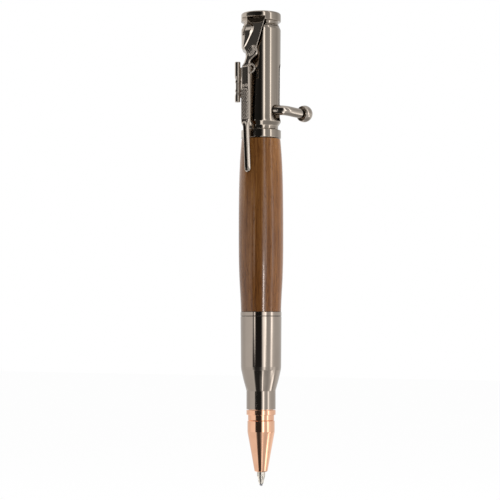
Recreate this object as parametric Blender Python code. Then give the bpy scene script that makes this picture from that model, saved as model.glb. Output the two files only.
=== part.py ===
"""Bolt-action ballpoint pen, built as separate pieces around one vertical axis.

Metres, +Z up, towards the cap. Heights are counted from the writing ball's lowest point, on an
empty that stands so far down that the flat end of the cap lies at the origin. The clip faces -Y,
and the bolt handle, locked with the point out, stands to the right of it, near +X.
"""

import math

import bmesh
import bpy
from mathutils import Matrix

# Gaps between pieces
seat_gap = 0.0002        # between faces that meet
fit_gap = 0.00012        # around a pressed, glued or screwed fit
slide_gap = 0.0002       # around a piece that slides or turns
pocket_gap = 0.00025     # around the clip in its pocket
overrun = 0.002          # how far a cutter runs past what it cuts
weld_gap = 0.0000005     # points closer than this are one

# Writing end and refill, a standard metal refill
tip_reach = 0.0041
ball_radius = 0.0005
ball_rim_radius = 0.00046
ball_rim_height = 0.0007
point_radius = 0.00117
point_cone_height = 0.0029
point_length = 0.0145
point_tail_radius = 0.0009
point_tail_length = 0.0022
nose_radius = 0.0020
nose_length = 0.0078
nose_tail_radius = 0.0025
nose_tail_length = 0.0030
nose_chamfer = 0.0003
refill_radius = 0.00295
refill_wall = 0.00025
refill_length = 0.0981
plug_length = 0.0017
plug_tail_length = 0.0030
plug_slot_width = 0.0009
plug_slot_depth = 0.0008
ink_headspace = 0.0141
refill_drop = 0.0017         # from the barrel's top down to the refill's end

# Return spring around the refill's nose
spring_radius = 0.00235
spring_wire_radius = 0.00020
spring_turns = 9
spring_points_per_turn = 10

# Nib
nib_taper_length = 0.0114
nib_straight_length = 0.0033
nib_band_length = 0.0016
nib_flange_length = 0.0014
nib_mouth_radius = 0.00188
nib_mouth_fillet = 0.00035
nib_radius = 0.00392
nib_band_radius = 0.00376
nib_groove_depth = 0.00018
nib_groove_width = 0.00025
nib_flange_radius = 0.0042
nib_spring_drop = 0.0015     # from the refill's shoulder down to the spring's seat
nib_bore_cone = 0.0020
nib_chamber_radius = 0.00275
nib_chamber_length = 0.0065
nib_spigot_radius = 0.00355
nib_spigot_bore = 0.0031
nib_spigot_length = 0.0052

# Front case
case_neck_length = 0.0050
case_shoulder_length = 0.0070
case_body_length = 0.0139
case_neck_radius = 0.0042
case_shoulder_radius = 0.00580
case_mouth_radius = 0.00593
case_wall = 0.0008
case_thread_depth = 0.0072
case_edge = 0.0002

# Front coupler
coupler_ring_length = 0.0011
coupler_ring_radius = 0.00592
coupler_bore = 0.0034
coupler_thread_radius = 0.0047
coupler_thread_length = 0.0066
coupler_shank_length = 0.0080
thread_depth = 0.00025
thread_turns = 6

# Barrel
barrel_front_radius = 0.00577
barrel_back_radius = 0.00563
barrel_swell = 0.00075
barrel_swell_shares = [
    (0.00, 0.00), (0.05, 0.13), (0.10, 0.30), (0.16, 0.57), (0.24, 0.82), (0.35, 0.95),
    (0.50, 1.00), (0.65, 0.97), (0.76, 0.88), (0.84, 0.70), (0.90, 0.50), (0.95, 0.25), (1.00, 0.00),
]
tube_radius = 0.00475
tube_wall = 0.0004

# Cap body
cap_flange_length = 0.0022
cap_neck_length = 0.0018
cap_bead_length = 0.0021
cap_tube_length = 0.0255
cap_chamfer_length = 0.0008
cap_shank_length = 0.0060
cap_flange_radius = 0.00579
cap_neck_radius = 0.00509
cap_bead_radius = 0.00580
cap_front_radius = 0.00555
cap_back_radius = 0.00575
cap_chamfer_radius = 0.00542
cap_bore = 0.0037
cap_rod_bore = 0.0032
relief_depth = 0.00430
relief_angle_deg = 57.0
relief_length = 0.0188
relief_top_drop = 0.0070
relief_corner = 0.0014

# Cap head
head_cone_length = 0.0005
head_cone_radius = 0.00536
head_groove_length = 0.0008
head_rim_length = 0.0026
head_groove_radius = 0.00506
head_rim_radius = 0.00579
head_fillet = 0.0006
head_bottom_fillet = 0.00025
head_spigot_length = 0.0029

# Slot for the bolt, and the bolt
lock_angle_deg = 84.0
slot_angle_deg = 118.5
notch_lead = 0.0009
notch_height = 0.0045
slot_length = 0.0168
slot_clearance = 0.0002
push_play = 0.0014
core_length = 0.0126
core_below_arm = 0.0034
core_edge = 0.0004
core_pin_bore = 0.0015
core_pin_depth = 0.0019
arm_radius = 0.0014
arm_edge = 0.00015
arm_drop = 0.00055
arm_bend_start = 0.0054
arm_bend_radius = 0.0032
arm_bend_deg = 80.0
arm_straight_length = 0.0045
arm_tenon_radius = 0.00085
arm_tenon_start = 0.0010
arm_root_gap = 0.00025
knob_radius = 0.00243
knob_face_depth = 0.0011     # from the ball's middle to its flat face round the arm
knob_end_radius = 0.00115
knob_tenon_radius = 0.0007
knob_tenon_length = 0.0011
screw_head_radius = 0.0009
screw_head_height = 0.00035
screw_shank_radius = 0.0005
screw_shank_length = 0.0009
push_rod_radius = 0.0022

# Clip, in the shape of a rifle: along z from muzzle to butt, across towards the scope
rifle_length = 0.0449
rifle_width = 0.0040
rifle_bite = 0.0008
butt_reach = 0.0036
clip_clearance = 0.0016      # between the receiver's back and the cap's bead
strip_lift = 0.0016
muzzle_lift = 0.00027
forend_drop = 0.00005
stock_thickness = 0.0011
receiver_thickness = 0.0010
strip_thickness = 0.00065
muzzle_thickness = 0.0005
muzzle_chamfer = 0.00022
receiver_end_share = 0.672
forend_end_share = 0.315
strip_end_share = 0.294
muzzle_share = 0.02
rifle_outline_shares = [
    (0.00, 0.000), (0.15, 0.003), (0.24, 0.018), (0.24, 0.294), (0.30, 0.305), (0.34, 0.330),
    (0.34, 0.532), (0.28, 0.539), (0.28, 0.677), (0.19, 0.701), (0.10, 0.726), (0.09, 0.748),
    (0.15, 0.771), (0.32, 0.788), (0.44, 0.806), (0.55, 1.000),
    (-0.96, 1.000), (-0.71, 0.811), (-0.74, 0.793), (-0.86, 0.775), (-0.90, 0.757), (-0.82, 0.744),
    (-0.60, 0.729), (-0.38, 0.708), (-0.34, 0.686), (-0.34, 0.330), (-0.28, 0.303), (-0.24, 0.294),
    (-0.24, 0.018), (-0.15, 0.003),
]
guard_outline_shares = [
    (-0.28, 0.620), (-0.56, 0.623), (-0.76, 0.638), (-0.85, 0.657), (-0.79, 0.676), (-0.58, 0.691),
    (-0.28, 0.695),
]
guard_hole_shares = [
    (-0.42, 0.638), (-0.54, 0.640), (-0.65, 0.648), (-0.70, 0.658), (-0.66, 0.669), (-0.52, 0.679),
    (-0.42, 0.680),
]
guard_thickness = 0.0008
guard_lift = 0.0001
scope_across = 0.00275
scope_reach = 0.0079
scope_length = 0.0116
scope_start_share = 0.449
scope_bell_radius = 0.00082
scope_profile_shares = [
    (0.00, 0.85), (0.02, 0.95), (0.16, 0.95), (0.22, 0.74), (0.26, 0.74), (0.26, 0.88), (0.32, 0.88),
    (0.32, 0.74), (0.46, 0.74), (0.46, 0.88), (0.52, 0.88), (0.52, 0.74), (0.56, 0.74), (0.62, 1.00),
    (0.97, 1.00), (1.00, 0.88),
]
mount_thickness = 0.0007
mount_start_share = 0.10
mount_end_share = 0.86
grip_outline_shares = [
    (0.188, 0.684), (0.125, 0.702), (0.038, 0.722), (-0.013, 0.742), (-0.125, 0.773),
    (-0.325, 0.797), (-0.525, 0.806), (-0.650, 0.801), (-0.760, 0.783), (-0.840, 0.761),
    (-0.780, 0.748), (-0.580, 0.733), (-0.338, 0.711), (-0.288, 0.684),
]
grip_lift = 0.0004
cheek_outline_shares = [
    (0.475, 0.956), (0.300, 0.951), (-0.025, 0.939), (-0.175, 0.915), (-0.030, 0.875),
    (0.090, 0.842), (0.213, 0.815), (0.300, 0.809), (0.400, 0.813), (0.445, 0.873),
]
cheek_lift = 0.0004
panel_root = 0.0004          # how deep a raised panel reaches into the casting
strip_groove_shares = [(0.09, 0.032), (0.15, 0.032), (0.15, 0.280), (0.09, 0.280)]
strip_groove_depth = 0.0002
pocket_start_share = 0.745
tongue_width = 0.0024
tongue_thickness = 0.0006
tongue_reach = 0.0012

# Numbers of sides and steps of the round pieces
shell_sides = 40
inner_sides = 28
small_sides = 20
scope_sides = 16
ball_sides = 16
ball_rings = 10
fillet_steps = 4
slot_steps = 8
bend_steps = 8
knob_steps = 10
sharp_deg = 30.0         # edges that turn further stay sharp

# Heights, from the writing ball's lowest point up
nib_mouth_z = tip_reach
nib_straight_z = nib_mouth_z + nib_taper_length
nib_band_z = nib_straight_z + nib_straight_length
nib_flange_z = nib_band_z + nib_band_length
nib_top_z = nib_flange_z + nib_flange_length
case_bottom_z = nib_top_z + seat_gap
case_shoulder_z = case_bottom_z + case_neck_length
case_body_z = case_shoulder_z + case_shoulder_length
case_top_z = case_body_z + case_body_length
ring_z = case_top_z + seat_gap
ring_top_z = ring_z + coupler_ring_length
barrel_z = ring_top_z + seat_gap
barrel_top_z = refill_length + refill_drop
barrel_length = barrel_top_z - barrel_z
flange_z = barrel_top_z + seat_gap
neck_z = flange_z + cap_flange_length
bead_z = neck_z + cap_neck_length
cap_tube_z = bead_z + cap_bead_length
chamfer_z = cap_tube_z + cap_tube_length
cap_top_z = chamfer_z + cap_chamfer_length
head_z = cap_top_z + seat_gap
groove_z = head_z + head_cone_length
rim_z = groove_z + head_groove_length
pen_length = rim_z + head_rim_length
notch_z = bead_z + notch_lead
notch_top_z = notch_z + notch_height
slot_top_z = notch_z + slot_length
arm_z = notch_top_z - slot_clearance - arm_radius
core_z = arm_z - core_below_arm
core_top_z = core_z + core_length
cap_floor_z = core_z - push_play - seat_gap
nose_z = point_length
spring_seat_z = nose_z - nib_spring_drop
spring_z = spring_seat_z + seat_gap
shoulder_z = nose_z + nose_length
plug_z = refill_length - plug_length
ink_z = shoulder_z + nose_tail_length + seat_gap
ink_top_z = plug_z + seat_gap - plug_tail_length - ink_headspace
rifle_top_z = rim_z + rifle_bite
rifle_z = rifle_top_z - rifle_length
core_radius = cap_bore - slide_gap
arm_bend_length = arm_bend_radius * math.radians(arm_bend_deg)
arm_length = arm_bend_start + arm_bend_length + arm_straight_length
knob_reach = arm_length + knob_face_depth
receiver_back_reach = cap_bead_radius + clip_clearance
receiver_reach = receiver_back_reach + receiver_thickness
forend_reach = receiver_reach - forend_drop
strip_reach = cap_bead_radius + strip_lift + strip_thickness
muzzle_reach = barrel_back_radius + barrel_swell + muzzle_lift + muzzle_thickness
slot_width = 2 * (arm_radius + slot_clearance)


def clear_scene():
    """Start from an empty scene."""
    for obj in list(bpy.data.objects):
        bpy.data.objects.remove(obj, do_unlink=True)


def new_material(name, colour, roughness, metallic):
    """A plain Principled material."""
    material = bpy.data.materials.new(name)
    material.use_nodes = True
    shader = material.node_tree.nodes["Principled BSDF"]
    shader.inputs["Base Color"].default_value = (*colour, 1.0)
    shader.inputs["Roughness"].default_value = roughness
    shader.inputs["Metallic"].default_value = metallic
    return material


def add_object(name, bm, material, parent, smooth=True):
    """Turn a bmesh into an object, with its faces pointing out."""
    bmesh.ops.remove_doubles(bm, verts=bm.verts, dist=weld_gap)
    bmesh.ops.recalc_face_normals(bm, faces=bm.faces)
    mesh = bpy.data.meshes.new(name)
    bm.to_mesh(mesh)
    bm.free()
    if smooth:
        mesh.shade_smooth()
        mesh.set_sharp_from_angle(angle=math.radians(sharp_deg))
    obj = bpy.data.objects.new(name, mesh)
    bpy.context.scene.collection.objects.link(obj)
    obj.parent = parent
    if material is not None:
        mesh.materials.append(material)
    return obj


def turned_bmesh(outer, inner, sides):
    """Spin a profile, listed bottom to top as (radius, height), round the Z axis."""
    bm = bmesh.new()
    if inner is None:
        points = [(0, outer[0][1])] + list(outer) + [(0, outer[-1][1])]
    else:
        points = list(outer) + list(reversed(inner))
    verts = [bm.verts.new((radius, 0, height)) for radius, height in points]
    edges = [bm.edges.new(pair) for pair in zip(verts, verts[1:])]
    if inner is not None:
        edges.append(bm.edges.new((verts[-1], verts[0])))
    bmesh.ops.spin(bm, geom=verts + edges, axis=(0, 0, 1), cent=(0, 0, 0),
                   angle=math.tau, steps=sides, use_duplicate=False)
    bmesh.ops.remove_doubles(bm, verts=bm.verts, dist=weld_gap)
    return bm


def turned(name, outer, inner, sides, material, parent):
    """A turned piece, solid where inner is None."""
    return add_object(name, turned_bmesh(outer, inner, sides), material, parent)


def prism_bmesh(outline, extrude, place):
    """Extrude a flat outline; place maps each of its points to space."""
    bm = bmesh.new()
    face = bm.faces.new([bm.verts.new(place(point)) for point in outline])
    grown = bmesh.ops.extrude_face_region(bm, geom=[face])
    moved = [item for item in grown["geom"] if isinstance(item, bmesh.types.BMVert)]
    bmesh.ops.translate(bm, verts=moved, vec=extrude)
    return bm


def cutter(name, bm, parent):
    """A hidden shape that other pieces are cut or trimmed with."""
    obj = add_object(name, bm, None, parent, smooth=False)
    obj.hide_render = True
    obj.display_type = "WIRE"
    return obj


def boolean(obj, other, operation):
    """Cut, join or trim a piece with another shape."""
    modifier = obj.modifiers.new(other.name, "BOOLEAN")
    modifier.operation = operation
    modifier.solver = "EXACT"
    modifier.object = other


def arc_points(centre_radius, centre_z, radius, start_deg, end_deg, count):
    """Points of an arc in a turned profile."""
    points = []
    for index in range(count + 1):
        angle = math.radians(start_deg + (end_deg - start_deg) * index / count)
        points.append((centre_radius + radius * math.cos(angle), centre_z + radius * math.sin(angle)))
    return points


def thread_points(radius, start_z, end_z):
    """A row of thread crests on a turned profile."""
    pitch = (end_z - start_z) / thread_turns
    points = []
    for index in range(thread_turns):
        foot = start_z + pitch * index
        points.append((radius - thread_depth, foot))
        points.append((radius, foot + pitch / 2))
    points.append((radius - thread_depth, end_z))
    return points


def at_angle(angle_deg):
    """Rotation about Z that takes +X to an angle counted from the clip towards the handle."""
    return math.radians(angle_deg - 90)


def build_refill(parent, steel, tungsten, brass, plastic, ink):
    """The refill: point with its ball, nose, tube, end plug and ink."""
    ball = bmesh.new()
    bmesh.ops.create_uvsphere(ball, u_segments=ball_sides, v_segments=ball_rings,
                              radius=ball_radius)
    ball_object = add_object("writing_ball", ball, tungsten, parent)
    ball_object.location = (0, 0, ball_radius)

    socket_radius = ball_radius + fit_gap
    cone_share = 0.45
    cone_bulge_share = 0.62
    point_outer = [
        (ball_rim_radius + fit_gap, ball_rim_height),
        (ball_rim_radius + (point_radius - ball_rim_radius) * cone_bulge_share,
         ball_rim_height + (point_cone_height - ball_rim_height) * cone_share),
        (point_radius, point_cone_height),
        (point_radius, point_length - seat_gap),
        (point_tail_radius, point_length - seat_gap),
        (point_tail_radius, point_length + point_tail_length),
    ]
    ink_way = ball_radius / 2
    point_inner = [
        (socket_radius * math.cos(math.asin((ball_rim_height - ball_radius) / socket_radius)),
         ball_rim_height),
        (socket_radius * math.cos(math.radians(45)),
         ball_radius + socket_radius * math.sin(math.radians(45))),
        (ink_way, ball_radius + math.sqrt(socket_radius ** 2 - ink_way ** 2)),
        (ink_way, point_length + point_tail_length),
    ]
    turned("writing_tip", point_outer, point_inner, small_sides, steel, parent)

    nose_outer = [
        (nose_radius - nose_chamfer, nose_z),
        (nose_radius, nose_z + nose_chamfer),
        (nose_radius, shoulder_z - seat_gap),
        (nose_radius, shoulder_z),
        (refill_radius, shoulder_z),
        (refill_radius, shoulder_z + nose_chamfer),
        (nose_tail_radius, shoulder_z + nose_chamfer),
        (nose_tail_radius, shoulder_z + nose_tail_length),
    ]
    nose_inner = [
        (point_tail_radius + fit_gap, nose_z),
        (point_tail_radius + fit_gap, nose_z + point_tail_length + seat_gap),
        (ball_radius, nose_z + point_tail_length + seat_gap),
        (ball_radius, shoulder_z + nose_tail_length),
    ]
    turned("refill_nose", nose_outer, nose_inner, inner_sides, steel, parent)

    tube_z = shoulder_z + nose_chamfer + seat_gap
    bore = refill_radius - refill_wall
    turned("refill_tube", [(refill_radius, tube_z), (refill_radius, plug_z)],
           [(bore, tube_z), (bore, plug_z)], inner_sides, brass, parent)

    tail_radius = bore - fit_gap
    plug = turned("refill_plug", [
        (tail_radius, plug_z + seat_gap - plug_tail_length),
        (tail_radius, plug_z + seat_gap),
        (refill_radius, plug_z + seat_gap),
        (refill_radius, refill_length - nose_chamfer),
        (refill_radius - nose_chamfer, refill_length),
    ], None, inner_sides, plastic, parent)
    for index in range(2):
        slot = bmesh.new()
        bmesh.ops.create_cube(slot, size=1)
        bmesh.ops.scale(slot, verts=slot.verts,
                        vec=(2 * refill_radius + overrun, plug_slot_width, 2 * plug_slot_depth))
        slot_object = cutter(f"plug_slot_{index}", slot, parent)
        slot_object.location = (0, 0, refill_length)
        slot_object.rotation_euler = (0, 0, math.radians(90) * index)
        boolean(plug, slot_object, "DIFFERENCE")

    turned("ink_column", [(tail_radius, ink_z), (tail_radius, ink_top_z)], None,
           small_sides, ink, parent)


def build_spring(parent, steel):
    """The return spring, one unbroken wire between the nib's seat and the refill's shoulder."""
    bottom = spring_z + spring_wire_radius
    top = shoulder_z - seat_gap - spring_wire_radius
    rise = (top - bottom) / spring_turns
    gap = rise - 2 * spring_wire_radius
    print(f"refill_spring: {spring_turns} turns, gap between turns {gap * 1000:.2f} mm")
    curve = bpy.data.curves.new("refill_spring", "CURVE")
    curve.dimensions = "3D"
    curve.bevel_depth = spring_wire_radius
    curve.bevel_resolution = 1
    curve.use_fill_caps = True
    spline = curve.splines.new("POLY")
    count = spring_turns * spring_points_per_turn
    spline.points.add(count)
    for index in range(count + 1):
        angle = math.tau * index / spring_points_per_turn
        height = bottom + (top - bottom) * index / count
        spline.points[index].co = (spring_radius * math.cos(angle), spring_radius * math.sin(angle),
                                   height, 1)
    obj = bpy.data.objects.new("refill_spring", curve)
    curve.materials.append(steel)
    bpy.context.scene.collection.objects.link(obj)
    obj.parent = parent


def build_nib(parent, copper):
    """The bullet-shaped cone that the writing point comes out of."""
    fillet = nib_mouth_fillet
    curve_shares = [(0.35, 0.35), (0.70, 0.705), (0.93, 0.945), (1.00, 1.00)]
    start_z = nib_mouth_z + fillet
    outer = arc_points(nib_mouth_radius - fillet, start_z, fillet, -90, -15, fillet_steps)
    for along, out in curve_shares:
        outer.append((nib_mouth_radius + (nib_radius - nib_mouth_radius) * out,
                      start_z + (nib_straight_z - start_z) * along))
    groove = nib_groove_width / 2
    outer += [
        (nib_radius, nib_band_z - groove),
        (nib_band_radius - nib_groove_depth, nib_band_z),
        (nib_band_radius, nib_band_z + groove),
        (nib_band_radius, nib_flange_z),
        (nib_flange_radius, nib_flange_z),
        (nib_flange_radius, nib_top_z),
        (nib_spigot_radius, nib_top_z),
        (nib_spigot_radius, nib_top_z + nib_spigot_length),
    ]
    bore = point_radius + fit_gap
    inner = [
        (bore, nib_mouth_z),
        (bore, spring_seat_z - nib_bore_cone),
        (nose_radius - nose_chamfer, spring_seat_z),
        (nib_chamber_radius, spring_seat_z),
        (nib_chamber_radius, spring_seat_z + nib_chamber_length),
        (nib_spigot_bore, spring_seat_z + nib_chamber_length),
        (nib_spigot_bore, nib_top_z + nib_spigot_length),
    ]
    turned("nib", outer, inner, shell_sides, copper, parent)


def build_front_case(parent, gunmetal):
    """The bottleneck case: neck, shoulder and slightly tapered body."""
    shoulder_shares = [(0.00, 0.03), (0.10, 0.12), (0.22, 0.24), (0.88, 0.91), (1.00, 0.99)]
    outer = [
        (case_neck_radius - case_edge, case_bottom_z),
        (case_neck_radius, case_bottom_z + case_edge),
    ]
    for along, out in shoulder_shares:
        outer.append((case_neck_radius + (case_shoulder_radius - case_neck_radius) * out,
                      case_shoulder_z + case_shoulder_length * along))
    outer += [
        (case_shoulder_radius, case_body_z + case_edge),
        (case_mouth_radius, case_top_z - case_edge),
        (case_mouth_radius - case_edge, case_top_z),
    ]
    neck_bore = nib_spigot_radius + fit_gap
    inner = [
        (neck_bore, case_bottom_z),
        (neck_bore, case_shoulder_z + case_shoulder_length / 4),
        (case_shoulder_radius - case_wall * 2, case_body_z + case_edge),
        (case_shoulder_radius - case_wall * 2, case_top_z - case_thread_depth),
        (coupler_thread_radius + fit_gap, case_top_z - case_thread_depth),
        (coupler_thread_radius + fit_gap, case_top_z),
    ]
    turned("front_case", outer, inner, shell_sides, gunmetal, parent)


def build_coupler(parent, gunmetal):
    """The coupler: threaded spigot for the case, thin visible ring, and shank in the tube."""
    shank_radius = tube_radius - tube_wall - fit_gap
    outer = [(coupler_thread_radius - thread_depth, ring_z - coupler_thread_length)]
    outer += thread_points(coupler_thread_radius, ring_z - coupler_thread_length + seat_gap,
                           ring_z - seat_gap)
    outer += [
        (coupler_thread_radius - thread_depth, ring_z),
        (coupler_ring_radius, ring_z),
        (coupler_ring_radius, ring_top_z),
        (shank_radius, ring_top_z),
        (shank_radius, ring_top_z + coupler_shank_length),
    ]
    inner = [(coupler_bore, outer[0][1]), (coupler_bore, outer[-1][1])]
    turned("front_coupler", outer, inner, inner_sides, gunmetal, parent)


def build_barrel(parent, wood, brass):
    """The swelled wooden barrel on its brass tube."""
    outer = []
    for along, out in barrel_swell_shares:
        line = barrel_front_radius + (barrel_back_radius - barrel_front_radius) * along
        outer.append((line + barrel_swell * out, barrel_z + barrel_length * along))
    bore = tube_radius + fit_gap
    turned("barrel", outer, [(bore, barrel_z), (bore, barrel_top_z)], shell_sides, wood, parent)
    inside = tube_radius - tube_wall
    turned("barrel_tube", [(tube_radius, barrel_z), (tube_radius, barrel_top_z)],
           [(inside, barrel_z), (inside, barrel_top_z)], inner_sides, brass, parent)


def stadium(width, low_z, high_z, count):
    """Outline of an upright slot with round ends, as (across, height)."""
    half = width / 2
    points = []
    for centre_z, start in ((low_z + half, 180), (high_z - half, 0)):
        for index in range(count + 1):
            angle = math.radians(start + 180 * index / count)
            points.append((half * math.cos(angle), centre_z + half * math.sin(angle)))
    return points


def slot_cutter(name, low_z, high_z, angle_deg, parent):
    """A round-ended cutter through the cap's wall at one angle."""
    outline = stadium(slot_width, low_z, high_z, slot_steps)
    start = cap_bore / 2
    reach = cap_bead_radius + overrun - start
    bm = prism_bmesh(outline, (reach, 0, 0), lambda point: (start, point[0], point[1]))
    obj = cutter(name, bm, parent)
    obj.rotation_euler = (0, 0, at_angle(angle_deg))
    return obj


def notch_cutter(parent):
    """The turning part of the slot, swept round the axis from the locked place to the long run."""
    start = cap_bore / 2
    reach = cap_bead_radius + overrun
    bm = bmesh.new()
    corners = [(start, notch_z), (reach, notch_z), (reach, notch_top_z), (start, notch_top_z)]
    verts = [bm.verts.new((radius, 0, height)) for radius, height in corners]
    face = bm.faces.new(verts)
    turn = math.radians(slot_angle_deg - lock_angle_deg)
    bmesh.ops.spin(bm, geom=[face], axis=(0, 0, 1), cent=(0, 0, 0), angle=turn, steps=slot_steps,
                   use_duplicate=False)
    obj = cutter("notch_turn", bm, parent)
    obj.rotation_euler = (0, 0, at_angle(lock_angle_deg))
    return obj


def pocket_cutter(parent):
    """The sloping pocket that the rifle's stock lies in."""
    top_z = rifle_top_z + pocket_gap
    slope = stock_slope()
    bottom_z = rifle_z + rifle_length * pocket_start_share
    corners = []
    for height in (bottom_z, top_z):
        floor = butt_reach - stock_thickness + slope * (rifle_top_z - height) - pocket_gap
        share = (height - rifle_z) / rifle_length
        left, right = stock_sides(share)
        for across in (left - pocket_gap, right + pocket_gap):
            corners.append((-across, -floor, height))
            corners.append((-across, -(cap_bead_radius + overrun), height))
    bm = bmesh.new()
    for corner in corners:
        bm.verts.new(corner)
    bmesh.ops.convex_hull(bm, input=bm.verts)
    return cutter("stock_pocket", bm, parent)


def stock_slope():
    """How fast the stock's face sinks towards the butt."""
    receiver_z = rifle_z + rifle_length * receiver_end_share
    return (receiver_reach - butt_reach) / (rifle_top_z - receiver_z)


def stock_sides(share):
    """The stock's toe and comb at a share of the rifle's length, towards the scope positive."""
    toe_low, comb_low = rifle_outline_shares[17], rifle_outline_shares[14]
    toe_top, comb_top = rifle_outline_shares[16], rifle_outline_shares[15]
    sides = []
    for low, top in ((toe_low, toe_top), (comb_low, comb_top)):
        along = (share - low[1]) / (top[1] - low[1])
        sides.append(rifle_width * (low[0] + (top[0] - low[0]) * along))
    return sides


def build_cap(parent, gunmetal):
    """The bolt housing with its J-shaped slot, and the head that closes it."""
    shank_radius = tube_radius - tube_wall - fit_gap
    bead_shares = [(0.30, 0.75), (0.55, 1.00), (0.80, 0.72)]
    outer = [
        (shank_radius, flange_z - cap_shank_length),
        (shank_radius, flange_z),
        (cap_flange_radius, flange_z),
        (cap_flange_radius, neck_z),
        (cap_neck_radius, neck_z),
        (cap_neck_radius, bead_z),
    ]
    for along, out in bead_shares:
        outer.append((cap_neck_radius + (cap_bead_radius - cap_neck_radius) * out,
                      bead_z + cap_bead_length * along))
    outer += [
        (cap_front_radius, cap_tube_z),
        (cap_back_radius, chamfer_z),
        (cap_chamfer_radius, cap_top_z),
    ]
    inner = [
        (cap_rod_bore, flange_z - cap_shank_length),
        (cap_rod_bore, cap_floor_z),
        (cap_bore, cap_floor_z),
        (cap_bore, cap_top_z),
    ]
    body = turned("cap_body", outer, inner, shell_sides, gunmetal, parent)
    pocket = pocket_cutter(parent)
    boolean(body, slot_cutter("lock_slot", notch_z, notch_top_z, lock_angle_deg, parent),
            "DIFFERENCE")
    boolean(body, notch_cutter(parent), "DIFFERENCE")
    boolean(body, slot_cutter("long_slot", notch_z, slot_top_z, slot_angle_deg, parent),
            "DIFFERENCE")
    boolean(body, pocket, "DIFFERENCE")

    relief_top = cap_top_z - relief_top_drop
    half = cap_bead_radius + overrun
    outline = [(relief_depth, relief_top - relief_length), (half, relief_top - relief_length),
               (half, relief_top + relief_corner)]
    corner = arc_points(relief_depth, relief_top + relief_corner, relief_corner, -90, 0, fillet_steps)
    outline += reversed(corner)
    relief = prism_bmesh(outline, (0, 2 * half, 0), lambda point: (point[0], -half, point[1]))
    relief_object = cutter("scope_relief", relief, parent)
    relief_object.rotation_euler = (0, 0, at_angle(-relief_angle_deg))
    boolean(body, relief_object, "DIFFERENCE")

    fillet = head_fillet
    low = head_bottom_fillet
    spigot_radius = cap_bore - fit_gap
    head_outer = [
        (spigot_radius - thread_depth, cap_top_z - head_spigot_length),
        (spigot_radius, cap_top_z - head_spigot_length + thread_depth),
        (spigot_radius, head_z),
        (head_cone_radius, head_z),
        (head_groove_radius, groove_z),
        (head_groove_radius, rim_z),
        (head_rim_radius - low, rim_z),
        (head_rim_radius, rim_z + low),
    ]
    head_outer += arc_points(head_rim_radius - fillet, pen_length - fillet, fillet, 0, 90, fillet_steps)
    head = turned("cap_head", head_outer, None, shell_sides, gunmetal, parent)
    boolean(head, pocket, "DIFFERENCE")
    boolean(head, tongue_cutter(parent), "DIFFERENCE")


def tongue_shape(grow):
    """The clip's tongue, or with grow the slot round it, reaching in under the head."""
    half = tongue_width / 2 + grow
    outline = [(-half, groove_z + seat_gap - grow), (half, groove_z + seat_gap - grow),
               (half, groove_z + seat_gap + tongue_thickness + grow),
               (-half, groove_z + seat_gap + tongue_thickness + grow)]
    start = tongue_reach - grow
    reach = butt_reach - stock_thickness / 2 - start
    return prism_bmesh(outline, (0, -reach, 0), lambda point: (point[0], -start, point[1]))


def tongue_cutter(parent):
    """The slot in the head's underside for the clip's tongue."""
    return cutter("tongue_slot", tongue_shape(pocket_gap), parent)


def bend_handle(bm):
    """Bend a piece that lies along X like the handle: back round the cap and a little down."""
    bmesh.ops.transform(bm, matrix=Matrix.Rotation(math.radians(90), 4, "Y"), verts=bm.verts)
    turn = math.radians(arm_bend_deg)
    for vert in bm.verts:
        past = vert.co.x - arm_bend_start
        if past > 0:
            angle = min(past / arm_bend_radius, turn)
            rest = max(past - arm_bend_length, 0)
            side = arm_bend_radius - vert.co.y
            along = min(past / (arm_length - arm_bend_start), 1)
            vert.co = (arm_bend_start + side * math.sin(angle) + rest * math.cos(angle),
                       arm_bend_radius - side * math.cos(angle) + rest * math.sin(angle),
                       vert.co.z - arm_drop * along * along * (3 - 2 * along))
    return bm


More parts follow.
